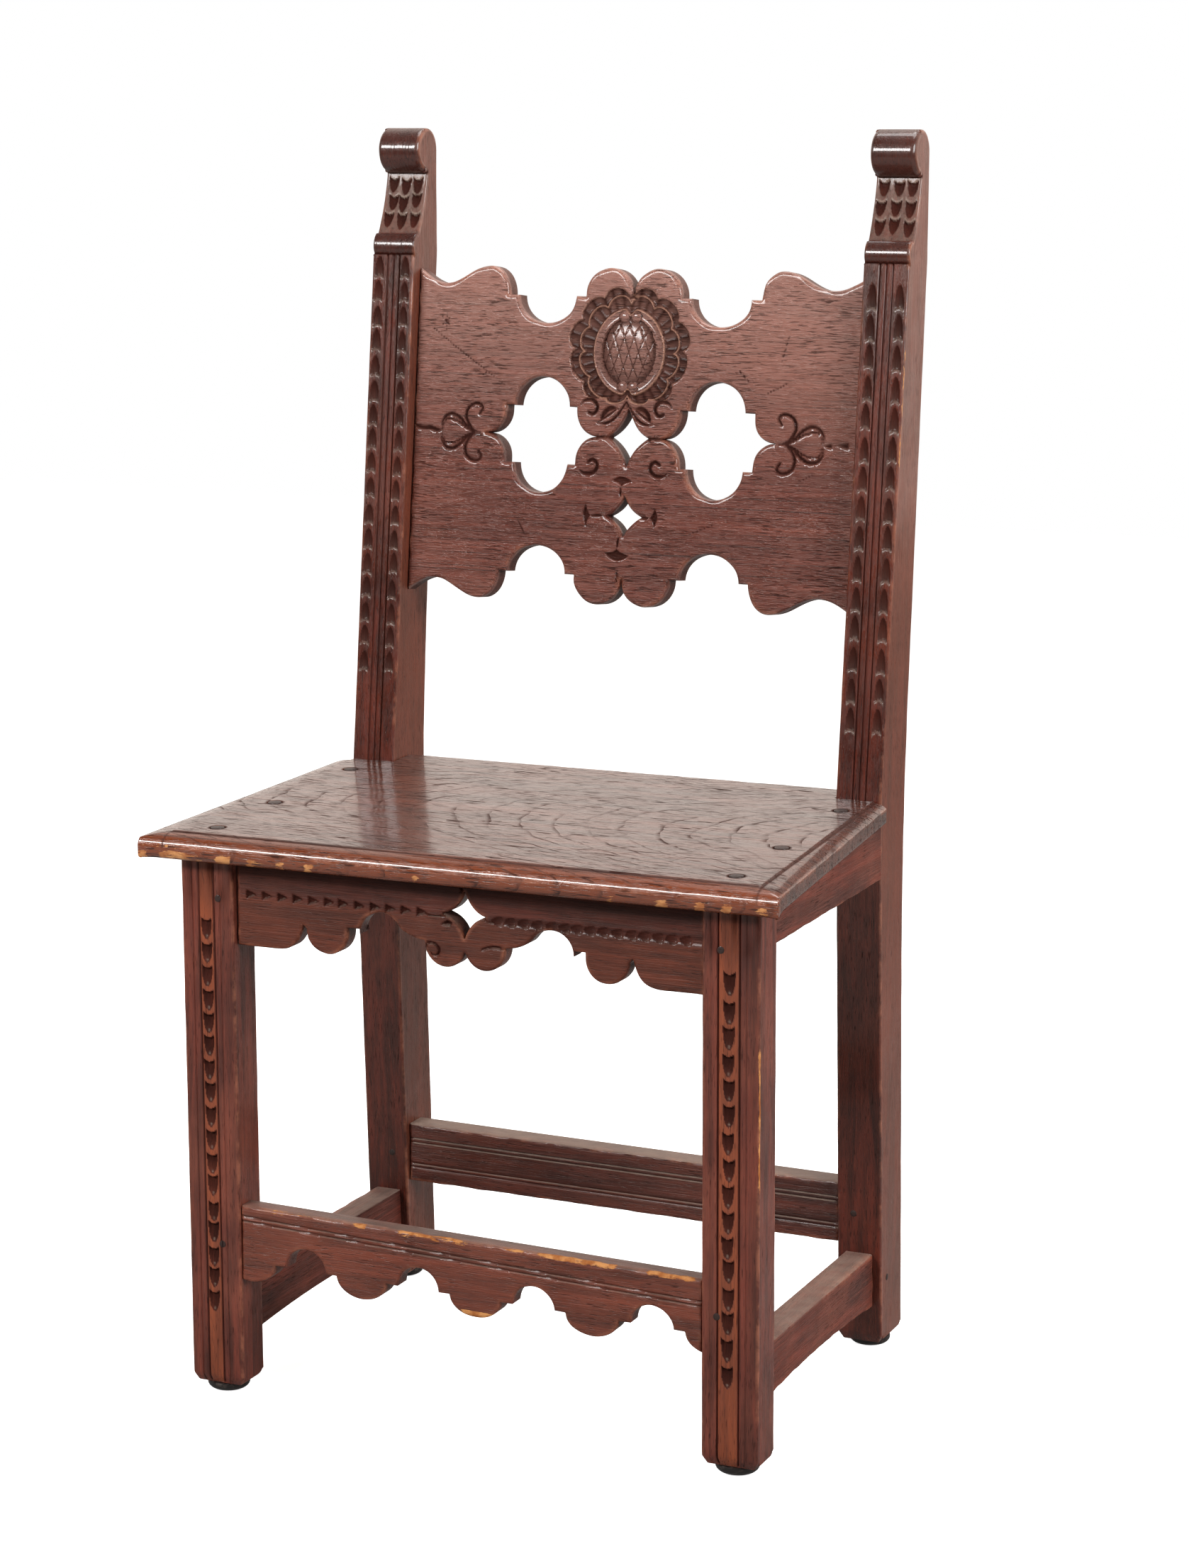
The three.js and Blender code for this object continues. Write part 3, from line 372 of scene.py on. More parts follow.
def plate(name, plane, loops, material, relief, step=SURFACE_STEP, arris=ARRIS, extra=None, fade=RELIEF_FADE,
          back_arris=lambda rim: BACK_ARRIS, warp=lambda flat: flat, sag=lambda flat: 0.0,
          walls=lambda rim, share: {}):
    """A board: a dense carved front, plain walls and a back.
    relief(points, distance) gives how deep the front is cut there, and its marks. back_arris(points) gives
    the radius of the back edge, warp(points) moves the outline, sag(points) gives how far the back bulges,
    and walls(points, share) gives the marks at a share of the walls' depth."""
    loops = [flowing(loop, EDGE_STEP) for loop in orient(loops)]
    points, triangles = fill(loops, front_points(loops, step, arris, extra))
    rim = sum(len(loop) for loop in loops)
    distance = np.concatenate([np.zeros(rim), edge_distances(points[rim:], loops)])
    radius = arris * (1 + ARRIS_CHANGE * waves(points, ARRIS_CHANGE_LENGTH, 5))
    parts = relief(points, distance)
    depth = parts.pop("depth") * np.clip((distance + FLAT) / fade, 0, 1) + rounding(distance, radius)
    depth += UNEVEN * waves(points, 31, 9)
    depth = np.minimum(depth, plane.thickness * DEEPEST)
    parts["edge"] = np.clip(1 - distance / (arris * 1.6), 0, 1)
    marks = {key: [values] for key, values in parts.items()}
    layers = [to_space(plane, warp(points), depth)]
    faces = list(triangles)
    rim_points, after = points[:rim], following(loops)
    back = back_arris(rim_points) + np.zeros(rim)
    thick = plane.thickness + sag(rim_points) + np.zeros(rim)
    rows = wall_rows(loops, rim_points, depth[:rim], back, thick)
    previous, count = np.arange(rim), len(points)
    for number, (row_points, row_depth) in enumerate(rows):
        layers.append(to_space(plane, warp(row_points), row_depth))
        here = np.arange(rim) + count
        faces += list(np.stack([previous[after], previous, here, here[after]], 1))
        previous, count = here, count + rim
        worn = walls(rim_points, (number + 1) / len(rows))
        for key, values in marks.items():
            values.append(np.zeros(rim) + worn.get(key, 0.0))
    back_loops = np.split(rows[-1][0], np.cumsum([len(loop) for loop in loops])[:-1])
    new, back_triangles = plain_face(back_loops, grid_inside(back_loops, BACK_STEP), BACK_STEP / 3)
    layers.append(to_space(plane, warp(new), plane.thickness + sag(new) + np.zeros(len(new))))
    numbers = np.concatenate([previous, np.arange(len(new)) + count])
    faces += [numbers[triangle][::-1] for triangle in back_triangles]
    for values in marks.values():
        values.append(np.zeros(len(new)))
    if np.linalg.det(np.stack([plane.across, plane.up, -plane.into])) < 0:
        faces = [face[::-1] for face in faces]
    marks = {key: np.concatenate(values) for key, values in marks.items()}
    return make_object(name, np.concatenate(layers), faces, material, marks)


def to_space(plane, flat, depth):
    """Points of a plane, at the given depths below it."""
    return plane.origin + flat[:, :1] * plane.across + flat[:, 1:] * plane.up + depth[:, None] * plane.into


# Carving tools
def curve_through(points, step=0.35):
    """A smooth line through given points."""
    points = np.array(points, float)
    ends = np.concatenate([[2 * points[0] - points[1]], points, [2 * points[-1] - points[-2]]])
    parts = []
    for i in range(len(points) - 1):
        a, b, c, d = ends[i:i + 4]
        count = max(2, int(np.linalg.norm(c - b) / step))
        t = (np.arange(count) / count)[:, None]
        bend, twist = 2 * a - 5 * b + 4 * c - d, 3 * b - a - 3 * c + d
        parts.append(0.5 * (2 * b + (c - a) * t + bend * t**2 + twist * t**3))
    parts.append(points[-1:])
    return np.concatenate(parts)


def groove(flat, points, width, depth, ends=(1.0, 1.0), swell=0.0):
    """Depth of a V-shaped groove along a line. It narrows to the given shares at its two ends."""
    line = curve_through(points)
    low, high = line.min(0) - width, line.max(0) + width
    near = np.nonzero(((flat > low) & (flat < high)).all(1))[0]
    result = np.zeros(len(flat))
    if not len(near):
        return result
    gaps = np.linalg.norm(flat[near][:, None] - line[None], axis=2)
    nearest = gaps.argmin(1)
    along = nearest / (len(line) - 1)
    narrow = ends[0] + (1 - ends[0]) * np.clip(along * 4, 0, 1)
    narrow *= ends[1] + (1 - ends[1]) * np.clip((1 - along) * 4, 0, 1)
    narrow *= 1 + swell * np.sin(np.pi * along)
    half = np.maximum(width / 2 * narrow, 0.05)
    share = np.clip(1 - gaps.min(1) / half, 0, 1)
    result[near] = depth * narrow * share**0.8
    return result


def chip(flat, corners, depth, slope=1.0):
    """A chip-carved hollow: its floor slopes in from every side of its outline."""
    outline = np.array(corners, float)
    near = np.nonzero(((flat > outline.min(0) - 1) & (flat < outline.max(0) + 1)).all(1))[0]
    result = np.zeros(len(flat))
    if not len(near):
        return result
    inside = near[points_inside(flat[near], [outline])]
    line = dense_loop(outline, OUTLINE_SAMPLE)
    gaps = np.linalg.norm(flat[inside][:, None] - line[None], axis=2).min(1)
    result[inside] = np.minimum(depth, gaps * slope)
    return result


def gouge(across, along, length, half_width, depth, deep_end=0.91, horn=0.13, arch=0.85):
    """A gouge cut that opens as an arch at along = 0 and ends in a steep, hollow edge at along = length.
    Gives its depth, the share of its length and whether a point lies in it."""
    b = np.clip(along / length, 0, 1)
    width = half_width * np.sqrt(np.clip(1 - (1 - np.clip(b / arch, 0, 1)) ** 2, 0, 1)) + 1e-6
    a = across / width
    end = 1 - horn * np.clip(1 - (across / half_width) ** 2, 0, 1)
    opening = np.sqrt(b / deep_end) * 0.45 + b / deep_end * 0.55
    closing = np.clip((end - b) / (1 - deep_end), 0, 1) * 1.15
    ramp = np.where(b < deep_end * end, opening, closing)
    inside = (along > 0) & (b < end) & (np.abs(a) < 1)
    cut = np.where(inside, depth * np.clip(ramp, 0, 1) * (1 - np.abs(a) ** 3), 0)
    return cut, np.clip(along / length, -1, 2) / end, inside


def merge(parts, chosen, depth=0.0, **marks):
    """Puts a cut into the relief where it is the deeper one, and its marks at the chosen points."""
    parts["depth"] = np.maximum(parts["depth"], depth)
    for key, values in marks.items():
        parts[key] = np.maximum(parts[key], values * chosen)


def empty_relief(count):
    """A flat face without marks, to cut into."""
    return {key: np.zeros(count) for key in ("depth", "cut", "dust", "warm", "bare", "rim")}


def plain_relief(flat, distance):
    """A board that isn't carved."""
    return {"depth": np.zeros(len(flat)), "cut": np.zeros(len(flat))}


# Posts and legs
FRONT_STEP = 1.15  # spacing of rows on the carved front
PLAIN_STEP = 4.5
ACROSS_STEP = 0.66
POST_ARRIS = 1.8
POST_UNEVEN = 0.05
CORNER_ANGLE = math.radians(28)


def flowing(loop, step, smoothing=8):
    """A loop with even steps, its facets smoothed and its real corners kept."""
    before, after = loop - np.roll(loop, 1, 0), np.roll(loop, -1, 0) - loop
    turned = np.arctan2(after[:, 1], after[:, 0]) - np.arctan2(before[:, 1], before[:, 0])
    turns = np.abs(np.angle(np.exp(1j * turned)))
    steps = step if callable(step) else (lambda here, there: step)
    points, fixed = [], []
    for here, there, turn in zip(loop, np.roll(loop, -1, 0), turns):
        count = max(1, math.ceil(np.linalg.norm(there - here) / steps(here, there)))
        points.append(here + (there - here) * (np.arange(count) / count)[:, None])
        fixed += [turn > CORNER_ANGLE] + [False] * (count - 1)
    points, free = np.concatenate(points), ~np.array(fixed)
    for _ in range(smoothing):
        moved = (np.roll(points, 1, 0) + np.roll(points, -1, 0)) / 2
        gap = np.linalg.norm(moved - points, axis=1)
        near = np.maximum(np.linalg.norm(np.roll(points, 1, 0) - points, axis=1),
                          np.linalg.norm(np.roll(points, -1, 0) - points, axis=1)) < 3 * FRONT_STEP
        points[free & near & (gap < 1)] += 0.5 * (moved - points)[free & near & (gap < 1)]
    return points


def side_outline(name, side):
    """The side outline of a post or leg as (y, z) points, down to its chamfered foot."""
    triangles = node_triangles(name)
    face, _, _ = faces_towards(triangles, (side, 0, 0))
    plane = Plane(np.zeros(3), np.array([0, 1, 0]), np.array([0, 0, 1]), None, None)
    loop = orient(face_loops(face, plane)[:1])[0]
    low, start = triangles[:, :, 2].min(), loop[:, 1].min()
    foot = loop[loop[:, 1] < start + FLAT]
    chamfer = (start - low) / 2
    near, far = foot[:, 0].min(), foot[:, 0].max()
    first = int(np.argmin(np.abs(loop - [near, start]).sum(1)))
    loop = np.roll(loop, -first, 0)
    rest = loop[1:]
    rest = rest[(rest[:, 1] > start + FLAT) | (rest[:, 0] > far - FLAT)]
    return np.concatenate([loop[:1], [[near + chamfer, low], [far - chamfer, low]], rest]), chamfer


def columns(width, step, arris):
    """Places across a member: even, and closer at the two arrises."""
    half = width / 2
    edge = half - arris * np.array([0, 0.06, 0.2, 0.42, 0.72, 1.1])
    count = math.ceil(2 * edge[-1] / step)
    return np.concatenate([-edge, np.linspace(-edge[-1], edge[-1], count + 1)[1:-1], edge[::-1]])


def member(name, side, material, relief, change=lambda loop: loop, drift=0.0):
    """A post or leg: its side outline drawn out over its width, with its front carved.
    relief(x, y, z, front) gives the depth and the marks at each point."""
    loop, chamfer = side_outline(name, side)
    loop = change(loop)
    low, high = box_corners(name)
    middle, width = (low[0] + high[0]) / 2, high[0] - low[0]
    loop = flowing(loop, lambda a, b: FRONT_STEP if (b - a)[1] < -abs((b - a)[0]) * 0.25 else PLAIN_STEP)
    normals = -loop_normals(loop)
    xs = columns(width, ACROSS_STEP, POST_ARRIS)
    rows, wide = len(loop), len(xs)
    y, z = np.repeat(loop, wide, axis=0).T
    out_y, out_z = np.repeat(normals, wide, axis=0).T
    x = np.tile(xs, rows)
    parts = relief(x, y, z, out_y < -0.3)
    gap = width / 2 - np.abs(x)
    uneven = waves(np.stack([z, x], 1), ARRIS_CHANGE_LENGTH * 2, 3 + side)
    radius = POST_ARRIS * (1 + ARRIS_CHANGE / 2 * uneven) * parts.pop("soft", 1.0)
    depth = parts.pop("depth") * np.clip(gap / RELIEF_FADE, 0, 1) + rounding(gap, radius)
    depth += POST_UNEVEN * waves(np.stack([z, x, y], 1), 45, 12 + side)
    inset = np.clip(chamfer - (z - loop[:, 1].min()) / 2, 0, chamfer)
    points = np.stack([middle + x * (1 - inset / (width / 2)), y - depth * out_y, z - depth * out_z], 1)
    number = np.arange(rows * wide).reshape(rows, wide)
    down = np.roll(number, -1, 0)
    faces = list(np.stack([number[:, :-1], number[:, 1:], down[:, 1:], down[:, :-1]], -1).reshape(-1, 4))
    parts["edge"] = np.clip(1 - gap / (POST_ARRIS * 1.5), 0, 1)
    cloud, count = [points], len(points)
    for column, turn in ((0, -1), (wide - 1, 1)):
        rim = points[number[:, column]][:, 1:]
        inner = np.concatenate([rim + loop_normals(rim) * POST_ARRIS, grid_inside([rim], PLAIN_STEP * 2)])
        new, triangles = plain_face([rim], inner[points_inside(inner, [rim])], POST_ARRIS * 0.8)
        cloud.append(np.column_stack([np.full(len(new), middle + xs[column]), new]))
        numbers = np.concatenate([number[:, column], np.arange(len(new)) + count])
        count += len(new)
        faces += [numbers[triangle][::turn] for triangle in triangles]
    marks = {key: np.concatenate([values, np.zeros(count - len(points))]) for key, values in parts.items()}
    cloud = np.concatenate(cloud)
    cloud[:, 0] += drift * (LEG_STILL - cloud[:, 2] / LEG_TOP)
    return make_object(name + "_worked", cloud, faces, material, marks)


# Back board: sizes across are from the motif's axis, levels from the board's middle
MOTIF_AXIS = -2.0
ROSETTE_MIDDLE = 69.5
ROSETTE_HALF = 60.0  # room that it takes at each side of the axis
ROSETTE_LEVELS = (24.0, 126.0)
OUTER_PETALS = (
    ((0, 111), (11.6, 121.8)), ((24.5, 113), (38.5, 109.4)), ((43.6, 95.5), (54.6, 83)),
    ((49, 71.2), (52.5, 57.3)), ((40.3, 44.5), (39.2, 36)), ((33, 31), None),
)
INNER_PETALS = (
    ((0, 108.4), (10.6, 114.8)), ((20.7, 105), (33, 102.7)), ((37, 88.9), (44.6, 79.2)),
    ((40, 69), (44.5, 59.8)), ((35, 48.6), (32.4, 37)), ((19.5, 31.5), (10, 27.5)), ((0, 34), None),
)
WREATH = (31.6, 35.0)  # half width and half height
WREATH_INSIDE = (24.2, 28.0)
WREATH_NOTCH = 5.0
BALL_RADIUS = 4.8
BALL_DEPTH = 2.2
BALLS = ((5.4, 98.2), (4.6, 41.5))
LATTICE_SLOPE = 0.33
LATTICE_STEP = 8.8
LATTICE_HALF = 0.8  # half width of its lines
LATTICE_DEPTH = 0.55
FLUTES = 34  # round half of the rosette
FLUTE_DEPTH = 0.28
PETAL_DEPTH = 3.0
RIM_DEPTH = 0.7
RIM_HALF = 0.8  # half width of a rim line: the painted highlight on a petal rim, and the dark ring round a ball
DOME_DEPTH = 2.9
ROSETTE_GLOSS = 0.65

# Strokes: points, width and depth
LEAF_STROKES = (
    (((0, 29), (8.7, 16.9), (17.2, 11.4), (26, 11.1)), 2.2, 1.4),
    (((9, 22.5), (15.3, 18), (25.4, 11.5)), 1.5, 1.0),
    (((21.6, 15.4), (19.3, 20), (14.5, 23.5), (8, 23.5)), 4.2, 1.8),
)
UPPER_CURL = ((41.6, 25.6), (37.9, 29.2), (31.7, 30.2), (27.1, 27), (26.4, 22.3), (29.8, 18.6), (34, 19.8))
LOWER_CURL = ((40, -27.5), (35.2, -30.2), (28.6, -29.7), (24.4, -25.6), (25, -21), (28.8, -18.8), (32.5, -21))
HEART_CURL = (
    (133, -0.5), (139.5, 1.5), (144.5, 6.5), (147, 12.6), (145.5, 19.2),
    (140.8, 23), (135.6, 23.5), (132.2, 20.2), (135, 15),
)
HEART_OUTER = (
    (139, 0.5), (146.2, 4.6), (152, 10.5), (158.4, 14.2), (164.8, 13.3), (168.9, 8.3), (169.4, 3.6), (169, 0),
)
HEART_INNER = ((140, 0), (147.5, 3.6), (154.5, 8.3), (163.2, 10), (167.3, 7.2), (167.9, 1.8))
CURL_STROKES = ((UPPER_CURL[::-1], 3.3, 1.7), (LOWER_CURL[::-1], 3.3, 1.7))
HEART_STROKES = ((HEART_CURL[::-1], 2.8, 1.6), (HEART_OUTER, 2.8, 1.6), (HEART_INNER, 1.5, 1.1))
DROP_DEPTH = 1.6
HEART_DROPS = (((168, 0), (177, 3), (177, -3.4)), ((179, 0.9), (190.3, 3.8), (190.3, -3.3)))
CRACK = (((-195, 3.0), (-187, 1.8), (-181, 2.2), (-175, 0.6), (-168, 0.3)), 3.4, 1.8)
SCRATCHES = (
    ((-175, 86), (-163, 96)), ((-175, 96), (-164, 86)), ((-169, 83), (-169, 99)), ((-177, 91), (-162, 91)),
    ((-182, 85), (-109, 37)), ((-134, 47), (-128, 51)), ((138, 87), (132, 64)), ((96, 58), (108, 46)),
    ((122, 40), (140, 49)), ((60, -76), (84, -66)), ((-96, -70), (-88, -84)), ((150, -30), (166, -22)),
)
# The pierced pattern stands left of the board's middle: places across, and how far it is moved there
PATTERN_PLACES = (-198, -160, -63, 0, 63, 150, 198)
PATTERN_MOVES = (0, -2.4, -1.9, -3.1, -4.5, -3.4, 0)
WING_DEPTH = 2.4
WING_SLOPE = 1.5
WINGS = (  # two corners, the bulge between them, the apex and the end of its slit
    ((-11.8, -35.2), (7.1, -35.6), (-3, -31.4), (-3.6, -41.6), (-3.5, -48.4)),
    ((-15.9, -94.5), (6.8, -95.8), (-4.5, -100.7), (-4.5, -89.1), (-3.8, -81.3)),
    ((-34.2, -54.5), (-33.8, -74.4), (-37, -63), (-28.4, -64.4), (-18.4, -64)),
    ((27.7, -56.2), (27.7, -72.6), (31, -63.8), (22.1, -64.6), (12, -64.3)),
)
KERFS = (((-29, 0), (-19, 0)), ((18, 0), (29.5, 0)), ((0.8, 122), (0.2, 111)), ((-3.7, -118), (-3.7, -108)))


def petal_chain(petals, steps=10):
    """A scalloped half outline, from each cusp over its crest to the next cusp."""
    line = []
    for (start, crest), (end, _) in zip(petals, petals[1:]):
        start, end = np.array(start, float), np.array(end, float)
        t = np.arange(steps)[:, None] / steps
        eased = (t + (1 - np.cos(np.pi * t)) / 2) / 2
        rise = np.array(crest) - (start + end) / 2
        line.append(start + (end - start) * eased + rise * np.sin(np.pi * t) ** 0.8)
    return np.concatenate(line + [[petals[-1][0]]])


def signed_gap(flat, line):
    """Distance from a half outline that starts and ends at the axis: above zero inside it."""
    line = np.array(line, float)
    dense = dense_loop(line, 0.5)[: -max(1, math.ceil(np.linalg.norm(line[0] - line[-1]) / 0.5)) + 1]
    gap = np.full(len(flat), 99.0)
    for start in range(0, len(flat), 4000):
        part = flat[start:start + 4000]
        gap[start:start + 4000] = np.sqrt(((part[:, None] - dense[None]) ** 2).sum(2).min(1))
    closed = np.concatenate([[[-1, line[0][1]]], line, [[-1, line[-1][1]]]])
    return np.where(points_inside(flat, [closed]), gap, -gap)


def rosette(flat):
    """Depth, darkening, painted highlight on its rim lines and warmth of the carved rosette, for points right
    of its axis.
    """
    x, v = flat.T
    outer, inner = [signed_gap(flat, petal_chain(petals)) for petals in (OUTER_PETALS, INNER_PETALS)]
    u = v - ROSETTE_MIDDLE
    turn = np.arctan2(x, u)
    notch = WREATH_NOTCH * np.exp(-(x / 3.2) ** 2) * (np.abs(u) > WREATH[1] / 2)
    wreath = (1 - np.hypot(x / WREATH[0], u / (WREATH[1] - notch))) * WREATH[0]
    inside = np.hypot(x / WREATH_INSIDE[0], u / WREATH_INSIDE[1])
    dome = (1 - inside) * WREATH_INSIDE[0]
    flute = np.abs(np.sin(turn * FLUTES / 2 + 0.4 * np.sin(3 * turn)))
    first = np.minimum(np.minimum(PETAL_DEPTH, 1.9 * outer), RIM_DEPTH + 1.5 * -inner)
    second = np.minimum(np.minimum(PETAL_DEPTH + 0.3, RIM_DEPTH + 1.7 * inner), RIM_DEPTH + 1.5 * -wreath)
    band = RIM_DEPTH * 0.6 + 0.9 * np.sin(np.pi * np.clip(wreath / (WREATH[0] - WREATH_INSIDE[0]), 0, 1))
    on_first = (outer > 0) & (inner <= 0)
    on_second = (inner > 0) & (wreath <= 0)
    on_band = (wreath > 0) & (dome <= 0)
    on_dome = dome > 0
    fluted = on_first | on_second
    depth = np.where(on_first, first, np.where(on_second, second, 0))
    depth += FLUTE_DEPTH * flute * np.clip((depth - RIM_DEPTH) / 1.2, 0, 1) * fluted
    depth[on_band] = band[on_band]
    bulge = RIM_DEPTH * 0.4 + DOME_DEPTH * np.clip(inside, 0, 1) ** 3.2
    lattice = np.zeros(len(x))
    for slope in (-LATTICE_SLOPE, LATTICE_SLOPE):
        place = (x + slope * u * (1 + 0.25 * inside)) / LATTICE_STEP
        lattice = np.maximum(lattice, near_line((place - np.round(place)) * LATTICE_STEP, LATTICE_HALF))
    depth[on_dome] = (bulge + LATTICE_DEPTH * lattice)[on_dome]
    dirt_and_shade = (1.0 - 0.35 * flute) * np.clip((depth - RIM_DEPTH * 0.8) / 0.8, 0, 1) * fluted
    # Lattice lines darkened; and painted shade: a dark ring round the dome's edge, below the band
    dirt_and_shade = np.maximum(dirt_and_shade, on_dome * np.maximum(lattice, np.clip(inside - 0.6, 0, 1) * 1.9))
    dirt_and_shade = np.maximum(dirt_and_shade, 0.12 * on_band)
    for place in BALLS:
        ball = np.hypot(x - place[0], v - place[1])
        on_ball = ball < BALL_RADIUS
        depth[on_ball] = (RIM_DEPTH * 0.3 + BALL_DEPTH * hollow(ball / BALL_RADIUS))[on_ball]
        dirt_and_shade[on_ball] = 0
        dirt_and_shade = np.maximum(dirt_and_shade, near_line(ball - BALL_RADIUS, RIM_HALF) * 0.8)
    line = near_line(outer, 0.7)
    # Painted highlight along the rims of the petals and the wreath
    highlight_rims = np.maximum(near_line(inner, RIM_HALF) * (inner < 1), near_line(wreath, RIM_HALF))
    highlight_rims = np.maximum(highlight_rims * (dome < 0), 0.6 * line * (outer > 0))
    warm = ROSETTE_GLOSS * (0.6 * fluted + (wreath > 0))
    return depth + 0.3 * line, dirt_and_shade, highlight_rims * (np.hypot(x, u) > 8), warm


def cut_strokes(flat, strokes, depth, dirt_and_shade):
    """Cuts grooves into a relief and darkens them."""
    for points, width, deep in strokes:
        cut = groove(flat, points, width, deep, ends=(1.0, 0.5), swell=0.25)
        depth = np.maximum(depth, cut)
        dirt_and_shade = np.maximum(dirt_and_shade, np.clip(cut / deep * 1.4, 0, 1))
    return depth, dirt_and_shade


def wing_outline(first, second, bulge, apex):
    """A bat-wing chip: one bowed side and two hollow ones that meet at the apex."""
    first, second, bulge, apex = [np.array(point, float) for point in (first, second, bulge, apex)]
    t = np.linspace(0, 1, 8)[:, None]
    bow = first + (second - first) * t + (bulge - (first + second) / 2) * 4 * t * (1 - t)
    middle = (first + second + apex) / 3
    sides = []
    for start, end in ((second, apex), (apex, first)):
        pull = (middle - (start + end) / 2) * 0.55
        sides.append(start + (end - start) * t[1:] + pull * 4 * t[1:] * (1 - t[1:]))
    return np.concatenate([bow, *sides])[:-1]


def move_pattern(flat):
    """The pierced pattern as the photo shows it, left of where the solid has it."""
    return np.stack([flat[:, 0] + np.interp(flat[:, 0], PATTERN_PLACES, PATTERN_MOVES), flat[:, 1]], 1)


def back_board_relief(flat, distance):
    """The rosette, leaves, curls, hearts, winged chips and scratches of the back board."""
    depth, dirt_and_shade, highlight_rims, warm = np.zeros((4, len(flat)))
    folded = np.stack([np.abs(flat[:, 0] - MOTIF_AXIS), flat[:, 1]], 1)
    low, high = ROSETTE_LEVELS
    near = np.nonzero((folded[:, 0] < ROSETTE_HALF) & (flat[:, 1] > low) & (flat[:, 1] < high))[0]
    depth[near], dirt_and_shade[near], highlight_rims[near], warm[near] = rosette(folded[near])
    depth, dirt_and_shade = cut_strokes(folded, LEAF_STROKES + CURL_STROKES, depth, dirt_and_shade)
    for sign in (1, -1):
        mirrored = np.stack([np.abs(flat[:, 0]), flat[:, 1] * sign], 1)
        depth, dirt_and_shade = cut_strokes(mirrored, HEART_STROKES, depth, dirt_and_shade)
    for drop in HEART_DROPS:
        cut = chip(flat, drop, DROP_DEPTH)
        depth, dirt_and_shade = np.maximum(depth, cut), np.maximum(dirt_and_shade, cut / DROP_DEPTH)
    for first, second, bulge, apex, end in WINGS:
        cut = chip(flat, wing_outline(first, second, bulge, apex), WING_DEPTH, WING_SLOPE)
        depth, dirt_and_shade = np.maximum(depth, cut), np.maximum(dirt_and_shade, np.clip(cut, 0, 0.85))
        depth, dirt_and_shade = cut_strokes(flat, [((apex, end), 1.8, 1.3)], depth, dirt_and_shade)
    depth, dirt_and_shade = cut_strokes(flat, [(line, 1.6, 1.6) for line in KERFS] + [CRACK], depth, dirt_and_shade)
    depth, dirt_and_shade = cut_strokes(flat, [(line, 0.9, 0.22) for line in SCRATCHES], depth, dirt_and_shade)
    return {"depth": depth, "cut": dirt_and_shade, "rim": highlight_rims, "warm": warm}


# Rear posts: levels are heights above the floor, shares are of the post's width from its left side
LEAN = math.radians(5.937)
SCROLL_RADIUS = 18.5
SOLID_NECK_HEIGHT = 51.0
SOLID_OVOLO_HEIGHT = 13.0
OVOLO_GROWTH = 4.0  # the photo shows it that much taller
OVOLO_DROP = 2.4  # and its foot that much lower
GougeRows = namedtuple("GougeRows", "places half_widths first pitch count reeds")
POST_ROWS = {
    "left": GougeRows((0.165, 0.80), (4.3, 3.9), first=1.5, pitch=20.6, count=17, reeds=(0.37, 0.655)),
    "right": GougeRows((0.22, 0.835), (4.0, 3.9), first=16.0, pitch=23.8, count=15, reeds=(0.36, 0.65)),
}
POST_GOUGE_DEPTH = 2.9
GOUGE_LAND = 2.6  # left standing between a gouge and the next
GOUGE_SPREAD = 0.7  # how unevenly the carver set them
REED_DEPTH = 1.3
REED_QUIRK = 0.9  # half width
BELL_ROWS = (0.05, 0.345, 0.635)  # tops, as shares of the neck's height
BELL_PLACES = (0.2, 0.51, 0.81)
BELL_LENGTH = 14.0
BELL_HALF_WIDTH = 4.7
BELL_DEPTH = 2.7
BELL_LIP = 0.5  # stands proud over each bell
CHATTER = {"left": 0.09, "right": 0.02}  # of the tool, on the scroll and the ovolo
SCROLL_ARRIS = 2.4  # how many times rounder than the shaft the scroll is at its sides
JOIN_DARK = 1.1  # reach of the dirt where two mouldings meet
POST_BARE = (724, 833)  # levels between which the right post's arris is bare


def reeds(share, width, edges):
    """Two half-round reeds between three quirks."""
    low, high = edges
    middle = (low + high) / 2
    depth = np.zeros(len(share))
    for start, end in ((low, middle), (middle, high)):
        t = (share - start) / (end - start)
        depth = np.where((t > 0) & (t < 1), REED_DEPTH * hollow(2 * t - 1), depth)
    for place in (low, middle, high):
        depth = np.maximum(depth, REED_DEPTH * 1.25 * near_line((share - place) * width, REED_QUIRK))
    return depth


def bare_edge(gap, reach, z, stretch, taper):
    """A bare stretch of an arris, between two levels at which it runs out."""
    low, high = stretch
    return np.clip(1 - gap / reach, 0, 1) * np.clip(np.minimum(z - low, high - z) / taper, 0, 1)


def grow_ovolo(loop):
    """Moves the ovolo's top up the neck, in the side outline of a post."""
    neck_top = loop[:, 1].max() - 2 * SCROLL_RADIUS
    neck_foot = neck_top - SOLID_NECK_HEIGHT
    levels = (0, neck_foot - SOLID_OVOLO_HEIGHT, neck_foot, neck_top, TOP_LEVEL)
    foot = neck_foot - SOLID_OVOLO_HEIGHT - OVOLO_DROP
    moved = (0, foot, foot + SOLID_OVOLO_HEIGHT + OVOLO_GROWTH, neck_top, TOP_LEVEL)
    behind = loop[:, 0] > loop[:, 0].max() - 2 * SCROLL_RADIUS / 3
    return np.stack([loop[:, 0], np.where(behind, loop[:, 1], np.interp(loop[:, 1], levels, moved))], 1)


